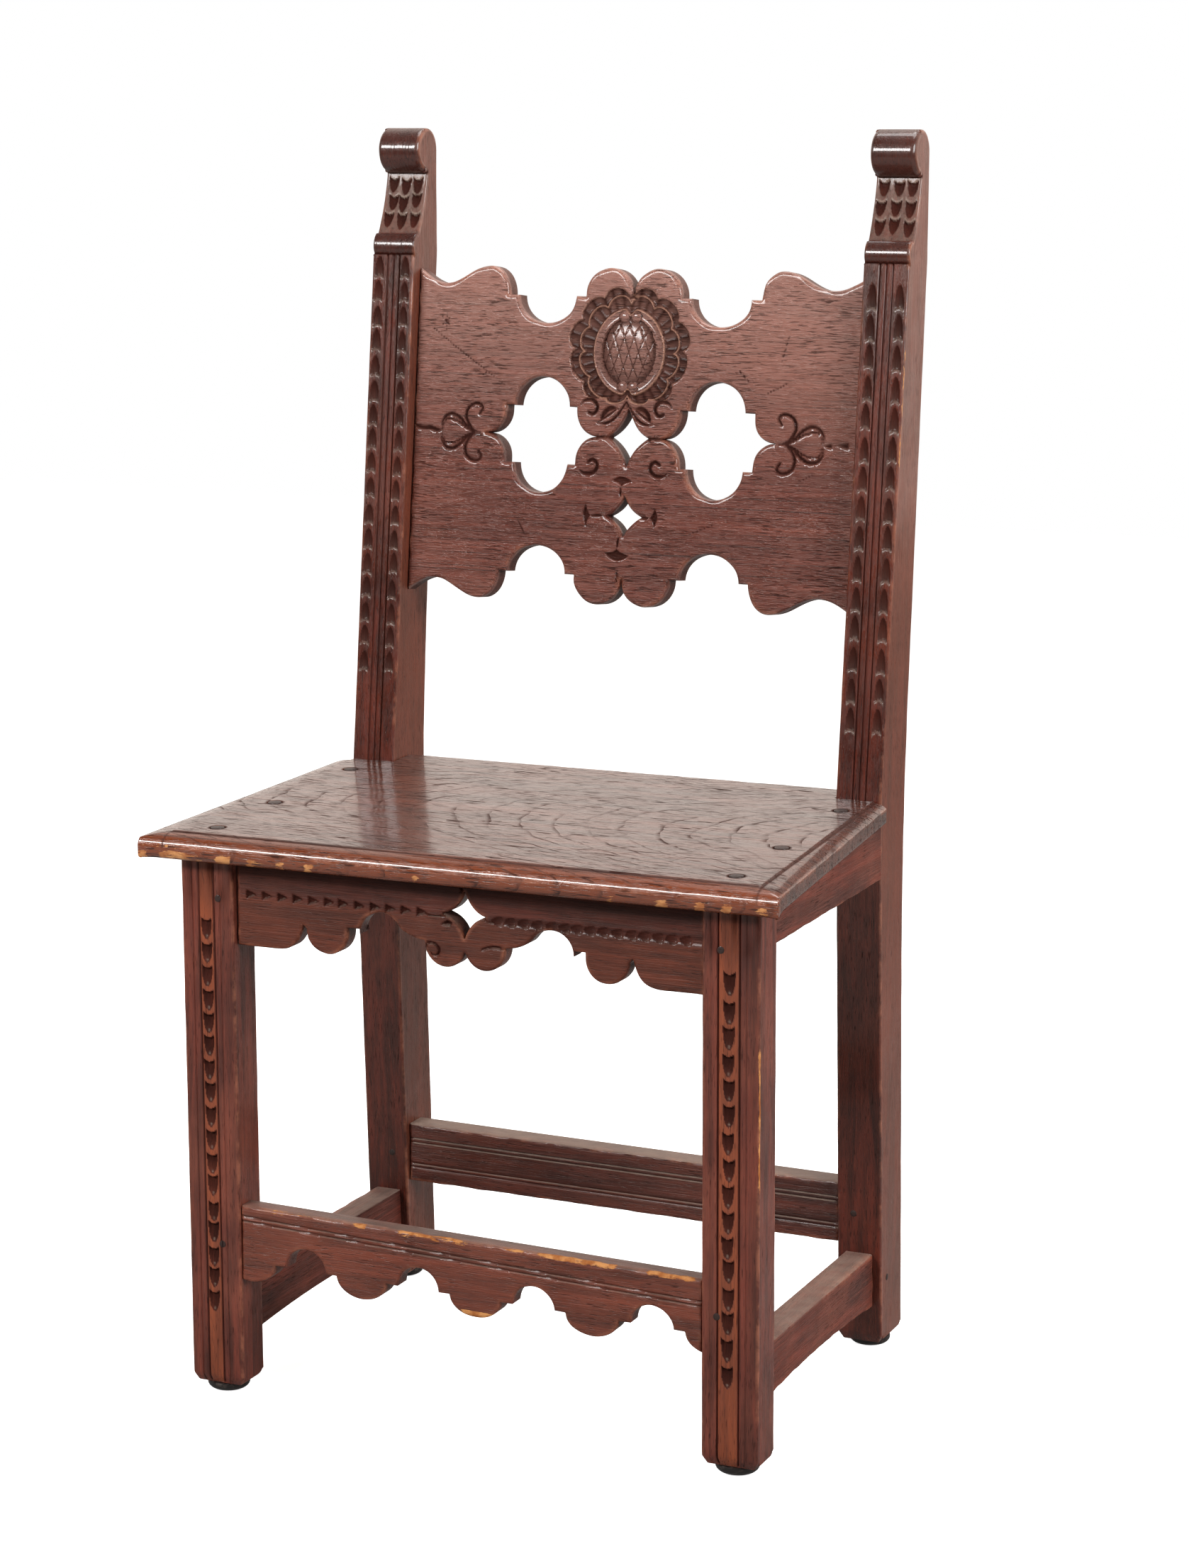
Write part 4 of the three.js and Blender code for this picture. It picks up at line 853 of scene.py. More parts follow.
def post_relief(word):
    """The front of a rear post: reeds between columns of gouge cuts, rows of scales and the scroll."""
    rows = POST_ROWS[word]
    low, high = box_corners("rear_post_" + word)
    width = high[0] - low[0]
    neck_top = high[2] - 2 * SCROLL_RADIUS
    neck_height = SOLID_NECK_HEIGHT - OVOLO_GROWTH + OVOLO_DROP
    neck_foot = neck_top - neck_height
    shaft_top = neck_foot - SOLID_OVOLO_HEIGHT - OVOLO_GROWTH
    rng = np.random.default_rng(11 if word == "left" else 12)

    def relief(x, y, z, front):
        parts = empty_relief(len(x))
        share = x / width + 0.5
        down = (shaft_top - z) / math.cos(LEAN)
        shaft = front & (z < shaft_top) & (z > SEAT_LEVEL - 12)
        depth = np.where(shaft, reeds(share, width, rows.reeds), 0)
        merge(parts, shaft, depth, cut=np.clip(depth / REED_DEPTH * 1.4 - 0.55, 0, 1))
        for place, half in zip(rows.places, rows.half_widths):
            for k in range(rows.count):
                start = rows.first + k * rows.pitch + rng.normal() * GOUGE_SPREAD
                length = rows.pitch - GOUGE_LAND + rng.normal() * GOUGE_SPREAD
                centre = (place - 0.5) * width + rng.normal() * 0.25
                depth, along, inside = gouge(x - centre, down - start, length, half, POST_GOUGE_DEPTH)
                # Painted shade: each gouge darker at its top, where it opens under its arch
                shade = 0.95 - 0.45 * np.clip(along, 0, 1)
                merge(parts, shaft & inside, depth * shaft, cut=shade, dust=0.1 * np.clip(along, 0, 1) ** 3)
                lip = shaft & (np.abs(x - centre) < half) & (along > 0.92) & (along < 1.07)
                merge(parts, lip, cut=0.4, dust=0.32)
        neck = front & (z > neck_foot) & (z < neck_top - 1)
        for row in BELL_ROWS:
            for place in BELL_PLACES:
                head = neck_top - row * neck_height + rng.normal() * 0.6
                centre = (place - 0.5) * width + rng.normal() * 0.7
                length = BELL_LENGTH * (1 + 0.06 * rng.normal())
                up = z - (head - length)
                depth, along, inside = gouge(
                    x - centre, up, length, BELL_HALF_WIDTH, BELL_DEPTH, horn=0.2, arch=0.9)
                merge(parts, neck & inside, depth * neck, cut=0.9 - 0.3 * np.clip(1 - along, 0, 1))
                lip = neck & (np.abs(x - centre) < BELL_HALF_WIDTH) & (along > 0.98) & (along < 1.13)
                parts["depth"] = np.where(lip, -BELL_LIP, parts["depth"])
                parts["dust"] = np.maximum(parts["dust"], 0.75 * lip)
        # Grey over the neck's ground: dust, and a painted sheen as well
        parts["dust"] = np.maximum(parts["dust"], 0.28 * (neck & (parts["depth"] < 0.2)))
        for level in (neck_top, neck_foot, shaft_top):
            parts["cut"] = np.maximum(parts["cut"], near_line(z - level, JOIN_DARK) * front)
        turned = front & ((z > neck_top) | (z < neck_foot) & (z > shaft_top))
        chatter = waves(np.stack([x * 2.2, z / 9], 1), 4.0, 41) * CHATTER[word]
        parts["depth"] = parts["depth"] + chatter * turned
        parts["warm"] = np.maximum(parts["warm"], 0.8 * turned)
        parts["soft"] = np.where(front & (z > neck_top), SCROLL_ARRIS, 1.0)
        if word == "right":
            parts["bare"] = 0.7 * bare_edge(width / 2 - x, 1.7, z, POST_BARE, 12) * front
        return parts

    return relief


# Front legs
LegRow = namedtuple("LegRow", "band top bottom count")
LEG_ROWS = {
    "left": LegRow(band=(0.33, 0.62), top=389.0, bottom=68.0, count=17),
    "right": LegRow(band=(0.275, 0.65), top=388.0, bottom=71.0, count=16),
}
LEG_BARE = (215, 345)  # levels between which the right leg's arris is bare
LEG_GOUGE_HALF = 4.8
LEG_LAND = 1.5
LEG_GOUGE_DEPTH = 3.1
LEG_BEAD = 5.6  # half-round bead beside the band
LEG_BEAD_DEPTH = 0.8
LEG_QUIRK = 1.1
LEG_QUIRK_DEPTH = 1.7


def leg_relief(word):
    """The front of a front leg: one column of gouge cuts on a band between two beads."""
    row = LEG_ROWS[word]
    low, high = box_corners("front_leg_" + word)
    width = high[0] - low[0]
    rng = np.random.default_rng(21 if word == "left" else 22)

    def relief(x, y, z, front):
        parts = empty_relief(len(x))
        band = [(share - 0.5) * width for share in row.band]
        depth = np.zeros(len(x))
        for edge, out in ((band[0], -1), (band[1], 1)):
            away = (x - edge) * out
            line = np.maximum(near_line(away, LEG_QUIRK), near_line(away - LEG_BEAD, LEG_QUIRK * 0.6) * 0.6)
            t = away / LEG_BEAD
            round_top = np.where((t > 0) & (t < 1), LEG_BEAD_DEPTH * hollow(2 * t - 1), 0)
            depth = np.maximum(depth, np.maximum(LEG_QUIRK_DEPTH * line, round_top))
        merge(parts, front, depth * front, cut=np.clip(depth / LEG_QUIRK_DEPTH * 1.3 - 0.35, 0, 1))
        on_band = front & (x > band[0] + LEG_QUIRK) & (x < band[1] - LEG_QUIRK)
        parts["warm"] = np.where(on_band, 1.0, 0.0)
        middle = (band[0] + band[1]) / 2
        pitch = (row.top - row.bottom + GOUGE_LAND) / row.count
        for k in range(row.count):
            start = row.bottom + k * pitch + rng.normal() * GOUGE_SPREAD
            length = pitch - LEG_LAND + rng.normal() * GOUGE_SPREAD / 2
            centre = middle + rng.normal() * 0.3
            depth, along, inside = gouge(
                x - centre, z - start, length, LEG_GOUGE_HALF, LEG_GOUGE_DEPTH, deep_end=0.92, horn=0.16)
            # Painted glint: a small grey spot near the foot of each gouge, through the dust mark. Painted
            # shade: each gouge darker towards its steep top
            glint = np.clip(1 - np.hypot(x - centre, (z - start - 2.4)) / 1.3, 0, 1)
            shade = 0.72 + 0.28 * np.clip(along, 0, 1)
            merge(parts, front & inside, depth * front, cut=shade, dust=0.7 * glint)
        parts["warm"] = parts["warm"] * (parts["cut"] < 0.3)
        # Darker towards the top of the leg's front, in patches
        head = np.clip((z - row.top - 4) / 14, 0, 1) * front
        parts["cut"] = np.maximum(parts["cut"], head * (0.35 + 0.3 * waves(np.stack([x * 6, z], 1), 60, 61)))
        if word == "right":
            parts["bare"] = 0.85 * bare_edge(width / 2 - x, 1.9, z, LEG_BARE, 14) * front
        return parts

    return relief


# Apron: places are across from the middle and heights above the floor
PUNCH_LEVEL = 410.5
LEFT_PUNCHES = (-182.0, -34.5, 12)
LEFT_PUNCH = (6.0, 4.1)  # half length and half height
RIGHT_PUNCHES = (28.0, 179.5, 15)
RIGHT_PUNCH = (4.9, 4.0)
PUNCH_DEPTH = 2.2
APRON_CURLS = (
    ((-33.5, 382), (-31, 386.5), (-26, 387), (-21.5, 383.5), (-22.5, 378.5), (-27, 378), (-28.5, 381.5)),
    ((15, 386), (21, 388), (29, 388.5), (36, 386.5), (40, 383)),
)
APRON_TIPS = (((-9.2, 413), (-16, 409), (-27, 408.5), (-36, 410)), ((14.3, 410.5), (22, 407.5), (27, 408)))
APRON_SLIT = ((-2.7, 428), (-2.9, 446))
APRON_HOLE = ((-21, 402), (-14, 406.5), (-9, 404.5), (-12, 400.5), (-16, 401.5))


def apron_relief(plane):
    """The front of the apron: a row of punches, with curls and a slit under it."""

    def relief(flat, distance):
        parts = empty_relief(len(flat))
        x, z = flat[:, 0], flat[:, 1] + plane.origin[2]
        level = np.stack([x, z], 1)
        rng = np.random.default_rng(31)
        start, end, count = LEFT_PUNCHES
        for place in np.linspace(start, end, count):
            place += rng.normal() * 0.5
            half, tall = LEFT_PUNCH
            tip = (place + half, PUNCH_LEVEL + rng.normal() * 0.4)
            corners = ((place - half, PUNCH_LEVEL - tall), tip, (place - half, PUNCH_LEVEL + tall))
            cut = chip(level, corners, PUNCH_DEPTH, 1.15) * np.clip((place + half - x) / half, 0, 1)
            merge(parts, cut > 0.05, cut, cut=np.clip(cut / 0.6, 0, 1))
        start, end, count = RIGHT_PUNCHES
        for place in np.linspace(start, end, count):
            place += rng.normal() * 0.7
            half, tall = RIGHT_PUNCH
            depth, share, inside = gouge(
                z - PUNCH_LEVEL + 1.5, x - place + half, 2 * half, tall, PUNCH_DEPTH, deep_end=0.8, horn=-0.1)
            merge(parts, inside, depth, cut=1 - 0.6 * np.clip(share, 0, 1))
        strokes = [(line, 2.4, 1.4) for line in APRON_CURLS] + [(line, 1.6, 0.9) for line in APRON_TIPS]
        strokes.append((APRON_SLIT, 1.6, 2.0))
        parts["depth"], parts["cut"] = cut_strokes(level, strokes, parts["depth"], parts["cut"])
        hole = chip(level, APRON_HOLE, 3.0, 1.6)
        merge(parts, hole > 0, hole, cut=np.clip(hole, 0, 1))
        parts["warm"] = 0.35 * np.clip((PUNCH_LEVEL - z) / 4, 0, 1) * (1 - parts["cut"])
        # Painted shade of the seat above: the whole apron darker, darker still above the row of punches and
        # most towards its top
        parts["cut"] = np.maximum(parts["cut"], 0.45)
        above = z - PUNCH_LEVEL
        shade = np.clip((above - 3) / 4, 0, 1) * (0.55 + 0.4 * np.clip((above - 14) / 18, 0, 1))
        parts["cut"] = np.maximum(parts["cut"], shade)
        return parts

    return relief


# Stretchers
FRONT_BEAD = ((-188.6, 144.1), (195.6, 135.2))
BEAD_WIDTH = 3.6
BEAD_QUIRK = 1.0
BEAD_DEPTH = 1.5
BARE_STRETCHES = (  # of the top arris: from, to and how bare
    (-172, -130, 0.55), (-98, -84, 0.95), (-60, 4, 0.85), (28, 52, 0.6), (60, 128, 1.0), (150, 192, 0.95),
)
BARE_LOBE = (12.0, 17.0, 6.5)  # middle, half width and height


def bead(gap):
    """A half-round bead between two quirks, by the distance from its middle line."""
    half = BEAD_WIDTH / 2
    round_top = np.where(np.abs(gap) < half, 0.6 * hollow(gap / half), 0)
    lines = near_line(np.abs(gap) - half, BEAD_QUIRK)
    return np.maximum(round_top, BEAD_DEPTH * lines), lines


def front_stretcher_relief(plane):
    """The front of the front stretcher: one bead, and varnish rubbed off where feet have rested."""

    def relief(flat, distance):
        parts = empty_relief(len(flat))
        x, z = flat[:, 0], flat[:, 1] + plane.origin[2]
        (x0, z0), (x1, z1) = FRONT_BEAD
        depth, lines = bead(z - (z0 + (z1 - z0) * (x - x0) / (x1 - x0)))
        merge(parts, depth > 0, depth, cut=lines * 0.9)
        top = z.max() - z
        for low, high, amount in BARE_STRETCHES:
            inside = np.clip(np.minimum(x - low, high - x) / 6 + 0.4, 0, 1) * np.clip(1.25 - top / 4.2, 0, 1)
            parts["bare"] = np.maximum(parts["bare"], inside * amount)
        mx, half, tall = BARE_LOBE
        low = z[np.abs(x - mx) < BEAD_WIDTH].min()
        lobe = np.clip((low + tall - z) / 1.5, 0, 1) * np.clip((half - np.abs(x - mx)) / 3, 0, 1)
        parts["bare"] = np.maximum(parts["bare"], lobe)
        parts["warm"] = np.full(len(x), 0.2)
        return parts

    return relief


# How far the ends of a stretcher stand above or below the solid: (left, right) of its top and of its foot
STRETCHER_TILTS = {
    "front_stretcher": ((4.2, -2.9), (0.0, -3.3)),
    "rear_stretcher": ((0.6, -2.4), (0.6, -2.4)),
}
STRETCHER_DRIFT = 1.7  # of the front one, to the right


def tilted(name, loops):
    """Moves the points of a stretcher as it stands in the photo."""
    (top_left, top_right), (foot_left, foot_right) = STRETCHER_TILTS[name]
    low, high = loops[0].min(0), loops[0].max(0)
    drift = STRETCHER_DRIFT if name == "front_stretcher" else 0.0

    def warp(flat):
        along, up = ((flat - low) / (high - low)).T
        top = top_left + (top_right - top_left) * along
        foot = foot_left + (foot_right - foot_left) * along
        return np.stack([flat[:, 0] + drift, flat[:, 1] + foot + (top - foot) * up], 1)

    return warp


REAR_BEADS = (0.28, 0.72)


def rear_stretcher_relief(plane):
    """The front of the rear stretcher, with its two beads."""

    def relief(flat, distance):
        parts = empty_relief(len(flat))
        v = flat[:, 1]
        height = v.max() - v.min()
        for share in REAR_BEADS:
            depth, lines = bead(v - v.min() - share * height)
            merge(parts, depth > 0, depth, cut=lines * 0.9)
        return parts

    return relief


# Seat: widths are across the seat, lengths along it
SEAT_ARRIS = 0.8
SEAT_DIPS = 0.12  # worn into its middle
NOSE_LOWER = 4.0  # how far the nose stands before the flat underside
NOSE_MOULD = 13.0
NOSE_QUIRK = 1.4
NOSE_DROP = 9.4
NOSE_SAG = 3.2  # how far the nose hangs below the board
NOSE_UNDER = 6.0  # radius under the nose
# Places across the nose, and how often it is knocked bare there
NOSE_BARE = ((-250, -190, -110, 250), (1.0, 0.55, 0.12, 0.2))
SIDE_UNDER = 2.5
SIDE_MOULD = {"left": (22.0, 17.0), "right": (17.0, 9.0)}  # at the front and at the posts
SIDE_SINK = 5.0
SEAT_LINE = 1.3  # half width of the line sunk beside the mouldings
PEG_SHADE_REACH = 1.8  # reach of the painted shade in the gap round a peg


def nose_profile(gap):
    """Depth of the rounded front moulding at a distance from the seat's front edge."""
    depth = NOSE_QUIRK + NOSE_DROP * hollow(np.clip(1 - gap / NOSE_MOULD, 0, 1))
    return np.where(gap < NOSE_MOULD, depth, 0)


def seat_peg_places(plane):
    """The middles and radii of the pegs, in the plane of the seat."""
    places = []
    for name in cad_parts:
        if name.startswith("seat_peg"):
            low, high = box_corners(name)
            away = (low + high) / 2 - plane.origin
            places.append((away @ plane.across, away @ plane.up, (high[0] - low[0]) / 2))
    return places


def seat_relief(plane, outline, front, rear):
    """The top of the seat: a rounded nose, sunk mouldings at the sides and painted shade in the gaps round
    the pegs.
    """
    pegs = seat_peg_places(plane)
    ends = {}
    for word, sign in (("left", -1), ("right", 1)):
        side = outline * [sign, 1]
        front_x = side[side[:, 1] < front + 1][:, 0].max()
        rear_x = side[np.abs(side[:, 1] - rear) < 1][:, 0].max()
        ends[word] = (sign, front_x, rear_x)

    def relief(flat, distance):
        parts = empty_relief(len(flat))
        x, w = flat.T
        gap = w - front
        depth = nose_profile(gap)
        line = near_line(gap - NOSE_MOULD, SEAT_LINE)
        share = np.clip(gap / (rear - front), 0, 1)
        for word, (sign, front_x, rear_x) in ends.items():
            wide, narrow = SIDE_MOULD[word]
            width = wide + (narrow - wide) * share
            across = (front_x + (rear_x - front_x) * share - sign * x) / width
            side = np.where(across < 1, NOSE_QUIRK + (SIDE_SINK - NOSE_QUIRK) * (1 - across) ** 2, 0)
            depth = np.maximum(depth, side)
            line = np.maximum(line, near_line((across - 1) * width, SEAT_LINE))
        depth = np.maximum(depth, NOSE_QUIRK * 0.8 * line)
        parts["depth"] = depth + SEAT_DIPS * np.clip(waves(flat, 55, 71), 0, 1)
        # Painted shade in the gap round each peg, joined to the darkened sunk lines
        for peg_x, peg_w, radius in pegs:
            off = np.abs(np.hypot(x - peg_x, w - peg_w) - radius)
            line = np.maximum(line, np.clip(1.5 - off / PEG_SHADE_REACH, 0, 1))
        parts["cut"] = line
        parts["warm"] = np.clip(1 - gap / (NOSE_MOULD * 1.05), 0, 1) ** 0.3 * (gap < NOSE_MOULD)
        speck = np.clip(waves(flat * [1, 1.6], 9, 72) - 0.45, 0, 1)
        left_end = np.clip((-200 - x) / 30, 0, 1) * np.clip(1 - gap / 9, 0, 1)
        worn_end = left_end * (0.3 + 0.4 * waves(flat, 8, 73))
        parts["bare"] = np.maximum(near_line(gap - 2, 6) * speck * 0.7, worn_end)
        return parts

    return relief


def nose_wear(front):
    """Warm varnish on the front of the nose, knocked bare low down, most of all at the left."""

    def marks(rim, share):
        near = np.clip(1.6 - (rim[:, 1] - front) / 4, 0, 1)
        patch = waves(np.stack([rim[:, 0], np.full(len(rim), share * 9)], 1), 24, 74)
        reach = np.interp(rim[:, 0], *NOSE_BARE)
        low = np.clip(share / 0.45, 0, 1)
        return {"warm": near, "bare": near * low * np.clip(patch + reach - 0.3, 0, 0.85)}

    return marks


def seat_plane():
    """The top plane of the seat, the outline of its underside, and where its front and rear are."""
    triangles = node_triangles("seat_board")
    _, normal, offset = faces_towards(triangles, (0, 0, 1))
    under, _, under_offset = faces_towards(triangles, (0, 0, -1))
    along = np.cross(normal, [1, 0, 0])
    low, high = triangles.reshape(-1, 3).min(0), triangles.reshape(-1, 3).max(0)
    middle = (low + high) / 2
    origin = middle - normal * (middle @ normal - offset)
    plane = Plane(origin, np.array([1.0, 0, 0]), along, -normal, offset + under_offset)
    loops = face_loops(under, plane)
    outline = loops[0]
    outline[outline[:, 1] < outline[:, 1].min() + 1, 1] -= NOSE_LOWER
    rear = np.median(outline[outline[:, 1] > 0][:, 1])
    return plane, loops, outline[:, 1].min(), rear


def make_seat(material):
    """The seat board. Its nose is rounder below than its sides, and hangs lower."""
    plane, loops, front, rear = seat_plane()

    def nearness(points):
        return np.clip(1 - (points[:, 1] - front) / NOSE_MOULD, 0, 1)

    def under(points):
        from_end = np.abs(points[:, 0]).max() - np.abs(points[:, 0])
        growth = nearness(points) * np.clip(from_end / NOSE_MOULD, 0, 1)
        return SIDE_UNDER + (NOSE_UNDER - SIDE_UNDER) * growth

    relief = seat_relief(plane, loops[0], front, rear)
    board = plate("seat_board_worked", plane, loops, material, relief, step=SEAT_STEP, arris=SEAT_ARRIS,
                  back_arris=under, fade=FLAT, sag=lambda points: NOSE_SAG * nearness(points),
                  walls=nose_wear(front))
    stand_in_for(board, "seat_board")
    return plane


# Pegs and glides
PEG_SIDES = 24
PEG_SHARE = 0.985  # of the solid's radius
PEG_WHITTLE = 0.05  # share by which it is out of round
PEG_FOOT = 0.9  # share of the radius at its inner end
# Rings of its head: heights over the solid and shares of the radius
PEG_HEAD = ((-0.6, 1.0), (0.15, 0.95), (0.4, 0.75), (0.5, 0.35))
GLIDE_SIDES = 64
GLIDE_FLAT = 0.53  # share of the radius that has worn flat
GLIDE_CURVE = 12  # points along its curve
GLIDE_HEIGHT = 7.7
GLIDE_WALL = 2.2  # upright part of its height
GLIDE_RIM = ((1.2, 1.0), (0.4, 0.985), (0.0, 0.95))  # distances from the top and shares of the radius
PIN_RADIUS = 2.0
PIN_POINT = (3.0, 0.4)  # length, and radius at its tip


def between_rings(rows, sides, first=0):
    """The faces between rings of points that follow each other."""
    faces = []
    for row in range(rows - 1):
        a, b = first + row * sides, first + (row + 1) * sides
        for i in range(sides):
            j = (i + 1) % sides
            faces.append((a + i, a + j, b + j, b + i))
    return faces


def dowel(name, axis, material):
    """A round peg with a rubbed, slightly uneven head, along an axis that points out of its hole."""
    corners = node_triangles(name).reshape(-1, 3)
    axis = np.array(axis, float) / np.linalg.norm(axis)
    middle = (corners.min(0) + corners.max(0)) / 2
    along = (corners - middle) @ axis
    away = corners - middle - along[:, None] * axis
    radius = np.linalg.norm(away, axis=1).max() * PEG_SHARE
    side = np.cross(axis, [0, 0, 1] if abs(axis[2]) < 0.9 else [1, 0, 0])
    side /= np.linalg.norm(side)
    other = np.cross(axis, side)
    turn = np.arange(PEG_SIDES) / PEG_SIDES * 2 * math.pi
    seed = sum(map(ord, name))
    wobble = 1 - PEG_WHITTLE * (0.5 + 0.5 * np.sin(3 * turn + seed) * np.sin(2 * turn + 2 * seed))
    ring = (side * np.cos(turn)[:, None] + other * np.sin(turn)[:, None]) * (radius * wobble)[:, None]
    levels = [(along.min(), PEG_FOOT)] + [(along.max() + rise, share) for rise, share in PEG_HEAD]
    points = np.concatenate([middle + axis * level + ring * share for level, share in levels])
    faces = between_rings(len(levels), PEG_SIDES)
    faces.append(tuple(range(PEG_SIDES))[::-1])
    faces.append(tuple(range(len(points) - PEG_SIDES, len(points))))
    stand_in_for(make_object(name + "_worked", points, faces, material), name)


def glide_dome(name, material, drift=0.0):
    """A pressed steel dome: flat where it has worn, rounded, and rolled in at its rim."""
    low, high = box_corners(name)
    middle = (low + high) / 2 + [drift, 0, 0]
    radius = (high[0] - low[0]) / 2
    profile = []
    for angle in np.linspace(0, math.pi / 2, GLIDE_CURVE):
        out = GLIDE_FLAT + (1 - GLIDE_FLAT) * math.sin(angle)
        profile.append((radius * out, (GLIDE_HEIGHT - GLIDE_WALL) * (1 - math.cos(angle))))
    profile += [(radius * share, GLIDE_HEIGHT - down) for down, share in GLIDE_RIM]
    point, tip = PIN_POINT
    profile += [(PIN_RADIUS, GLIDE_HEIGHT), (PIN_RADIUS, high[2] - point), (tip, high[2])]
    turn = np.arange(GLIDE_SIDES) / GLIDE_SIDES * 2 * math.pi
    points = [[middle[0], middle[1], low[2]]]
    for out, up in profile:
        points += [[middle[0] + out * math.cos(a), middle[1] + out * math.sin(a), up] for a in turn]
    faces = [(0, 1 + (i + 1) % GLIDE_SIDES, 1 + i) for i in range(GLIDE_SIDES)]
    faces += between_rings(len(profile), GLIDE_SIDES, 1)
    faces.append(tuple(range(len(points) - GLIDE_SIDES, len(points))))
    stand_in_for(make_object(name + "_worked", points, faces, material), name)


# Materials
class Nodes:
    """A short way to make and link the shader nodes of a material or a world."""

    def __init__(self, owner):
        self.owner = owner
        owner.use_nodes = True
        self.tree = owner.node_tree
        self.tree.nodes.clear()

    def put(self, socket, value):
        """Links a value that is a socket, and sets one that isn't."""
        if isinstance(value, bpy.types.NodeSocket):
            self.tree.links.new(value, socket)
        else:
            socket.default_value = value

    def make(self, kind, **settings):
        inputs = settings.pop("inputs", {})
        node = self.tree.nodes.new(kind)
        for key, value in settings.items():
            setattr(node, key, value)
        for key, value in inputs.items():
            self.put(node.inputs[key], value)
        return node

    def place(self):
        return self.make("ShaderNodeTexCoord").outputs["Object"]

    def mark(self, name):
        """A mark that the mesh carries at its points."""
        return self.make("ShaderNodeAttribute", attribute_name=name).outputs["Fac"]

    def math(self, operation, a, b=0.0, clamp=False):
        node = self.make("ShaderNodeMath", operation=operation, use_clamp=clamp, inputs={0: a, 1: b})
        return node.outputs[0]

    def times(self, a, b):
        return self.math("MULTIPLY", a, b)

    def plus(self, a, b):
        return self.math("ADD", a, b)

    def most(self, first, *others):
        """The largest of two or more values."""
        for other in others:
            first = self.math("MAXIMUM", first, other)
        return first

    def split(self, vector):
        return self.make("ShaderNodeSeparateXYZ", inputs={0: vector}).outputs

    def noise(self, vector, scale, detail=3.0, roughness=0.55, distortion=0.0):
        inputs = {"Vector": vector, "Scale": scale, "Detail": detail, "Roughness": roughness}
        inputs["Distortion"] = distortion
        return self.make("ShaderNodeTexNoise", inputs=inputs).outputs["Fac"]

    def stretch(self, vector, scale):
        return self.make("ShaderNodeMapping", inputs={"Vector": vector, "Scale": scale}).outputs["Vector"]

    def ramp(self, value, low, high, out_low=0.0, out_high=1.0):
        """A smooth step from one value to another, between two levels."""
        inputs = {"Value": value, "From Min": low, "From Max": high, "To Min": out_low, "To Max": out_high}
        node = self.make("ShaderNodeMapRange", clamp=True, interpolation_type="SMOOTHSTEP", inputs=inputs)
        return node.outputs[0]

    def mix(self, factor, a, b):
        node = self.make("ShaderNodeMix", data_type="RGBA", inputs={"Factor": factor})
        first, second = [socket for socket in node.inputs if socket.type == "RGBA"]
        self.put(first, a)
        self.put(second, b)
        return next(socket for socket in node.outputs if socket.type == "RGBA")

    def finish(self, shader):
        """Makes a shader the material's surface."""
        self.make("ShaderNodeOutputMaterial", inputs={"Surface": shader.outputs[0]})
        return self.owner


def tint(red, green, blue):
    """A colour as seen on screen, 0 to 255, as Blender's linear values."""
    values = [((v / 255 + 0.055) / 1.055) ** 2.4 if v > 10 else v / 3295 for v in (red, green, blue)]
    return (*values, 1.0)


# Axis that the fibres run along
GRAIN_ACROSS = 0
GRAIN_DEEP = 1
GRAIN_UPRIGHT = 2
# Darkest tone of the cut mark: soiling in the carved cuts, and painted shade where the cut mark stands for
# shade
GRIME_AND_SHADE = tint(42, 17, 12)
DUST = tint(146, 128, 116)
WARM = tint(138, 68, 38)
BARE = tint(202, 142, 88)
BARE_BROWN = tint(160, 96, 52)
RUBBED = tint(168, 104, 78)
# painted highlight on the rosette's rim lines
HIGHLIGHT_TINT = tint(196, 146, 122)
STAIN = tint(30, 13, 10)
PORE_TINT = tint(24, 12, 10)
SHEEN_GREY = tint(172, 126, 112)
# painted sheen, paling the back board towards its top
SIDE_LIGHT = tint(150, 86, 62)
# painted light on the side faces
ENAMEL = tint(24, 20, 19)
SCUFFED = tint(70, 60, 54)
VARNISH = (1.0, 0.9, 0.84, 1.0)  # old varnish warms what it mirrors
# Noises drawn out along the grain: changes to a metre along it and across it
FIGURE = (7.0, 98.0)
FINE_FIGURE = (4.2, 170.0)
FIBRES = (21.6, 810.0)
PORES = (84.0, 1140.0)
DASHES = (42.0, 420.0)
DARK_LINES = (3.0, 520.0)
STAINS = (3.2, 70.4)
SPLINTERS = (75.0, 525.0)
PALE_LEVELS = (0.70, 0.90)  # metres over the floor between which a painted sheen comes in, paling the back board towards its top
SIDE_FACING = (0.75, 0.97)  # of a normal's X, where a face counts as a side
BUMP_HEIGHT = 0.0009
COAT_ROUGHNESS = 0.12
CROWN_MIDDLE = -0.03  # metres, along Y
CROWN_SLOPE = -0.45  # of the arches, across the seat
CROWN_BOW = 4.2
CROWN_WANDER = 0.04
CROWN_LINES = 75.0  # to a metre


def crown_lines(n, place):
    """The arched growth lines of a board sawn through the side of the log."""
    spots = n.split(place)
    off = n.math("SUBTRACT", spots["Y"], CROWN_MIDDLE)
    bowed = n.times(n.times(off, off), CROWN_BOW)
    wander = n.times(n.noise(place, 5.0, 4.0, 0.6), CROWN_WANDER)
    level = n.plus(n.plus(n.times(spots["X"], CROWN_SLOPE), bowed), wander)
    line = n.ramp(n.math("FRACT", n.times(level, CROWN_LINES)), 0.0, 0.22, 1.0, 0.0)
    line = n.times(line, n.ramp(n.noise(place, 90.0, 3.0), 0.4, 0.6, 0.35, 1.0))
    return n.times(line, n.ramp(n.noise(place, 14.0, 2.0), 0.35, 0.65, 0.35, 1.0))


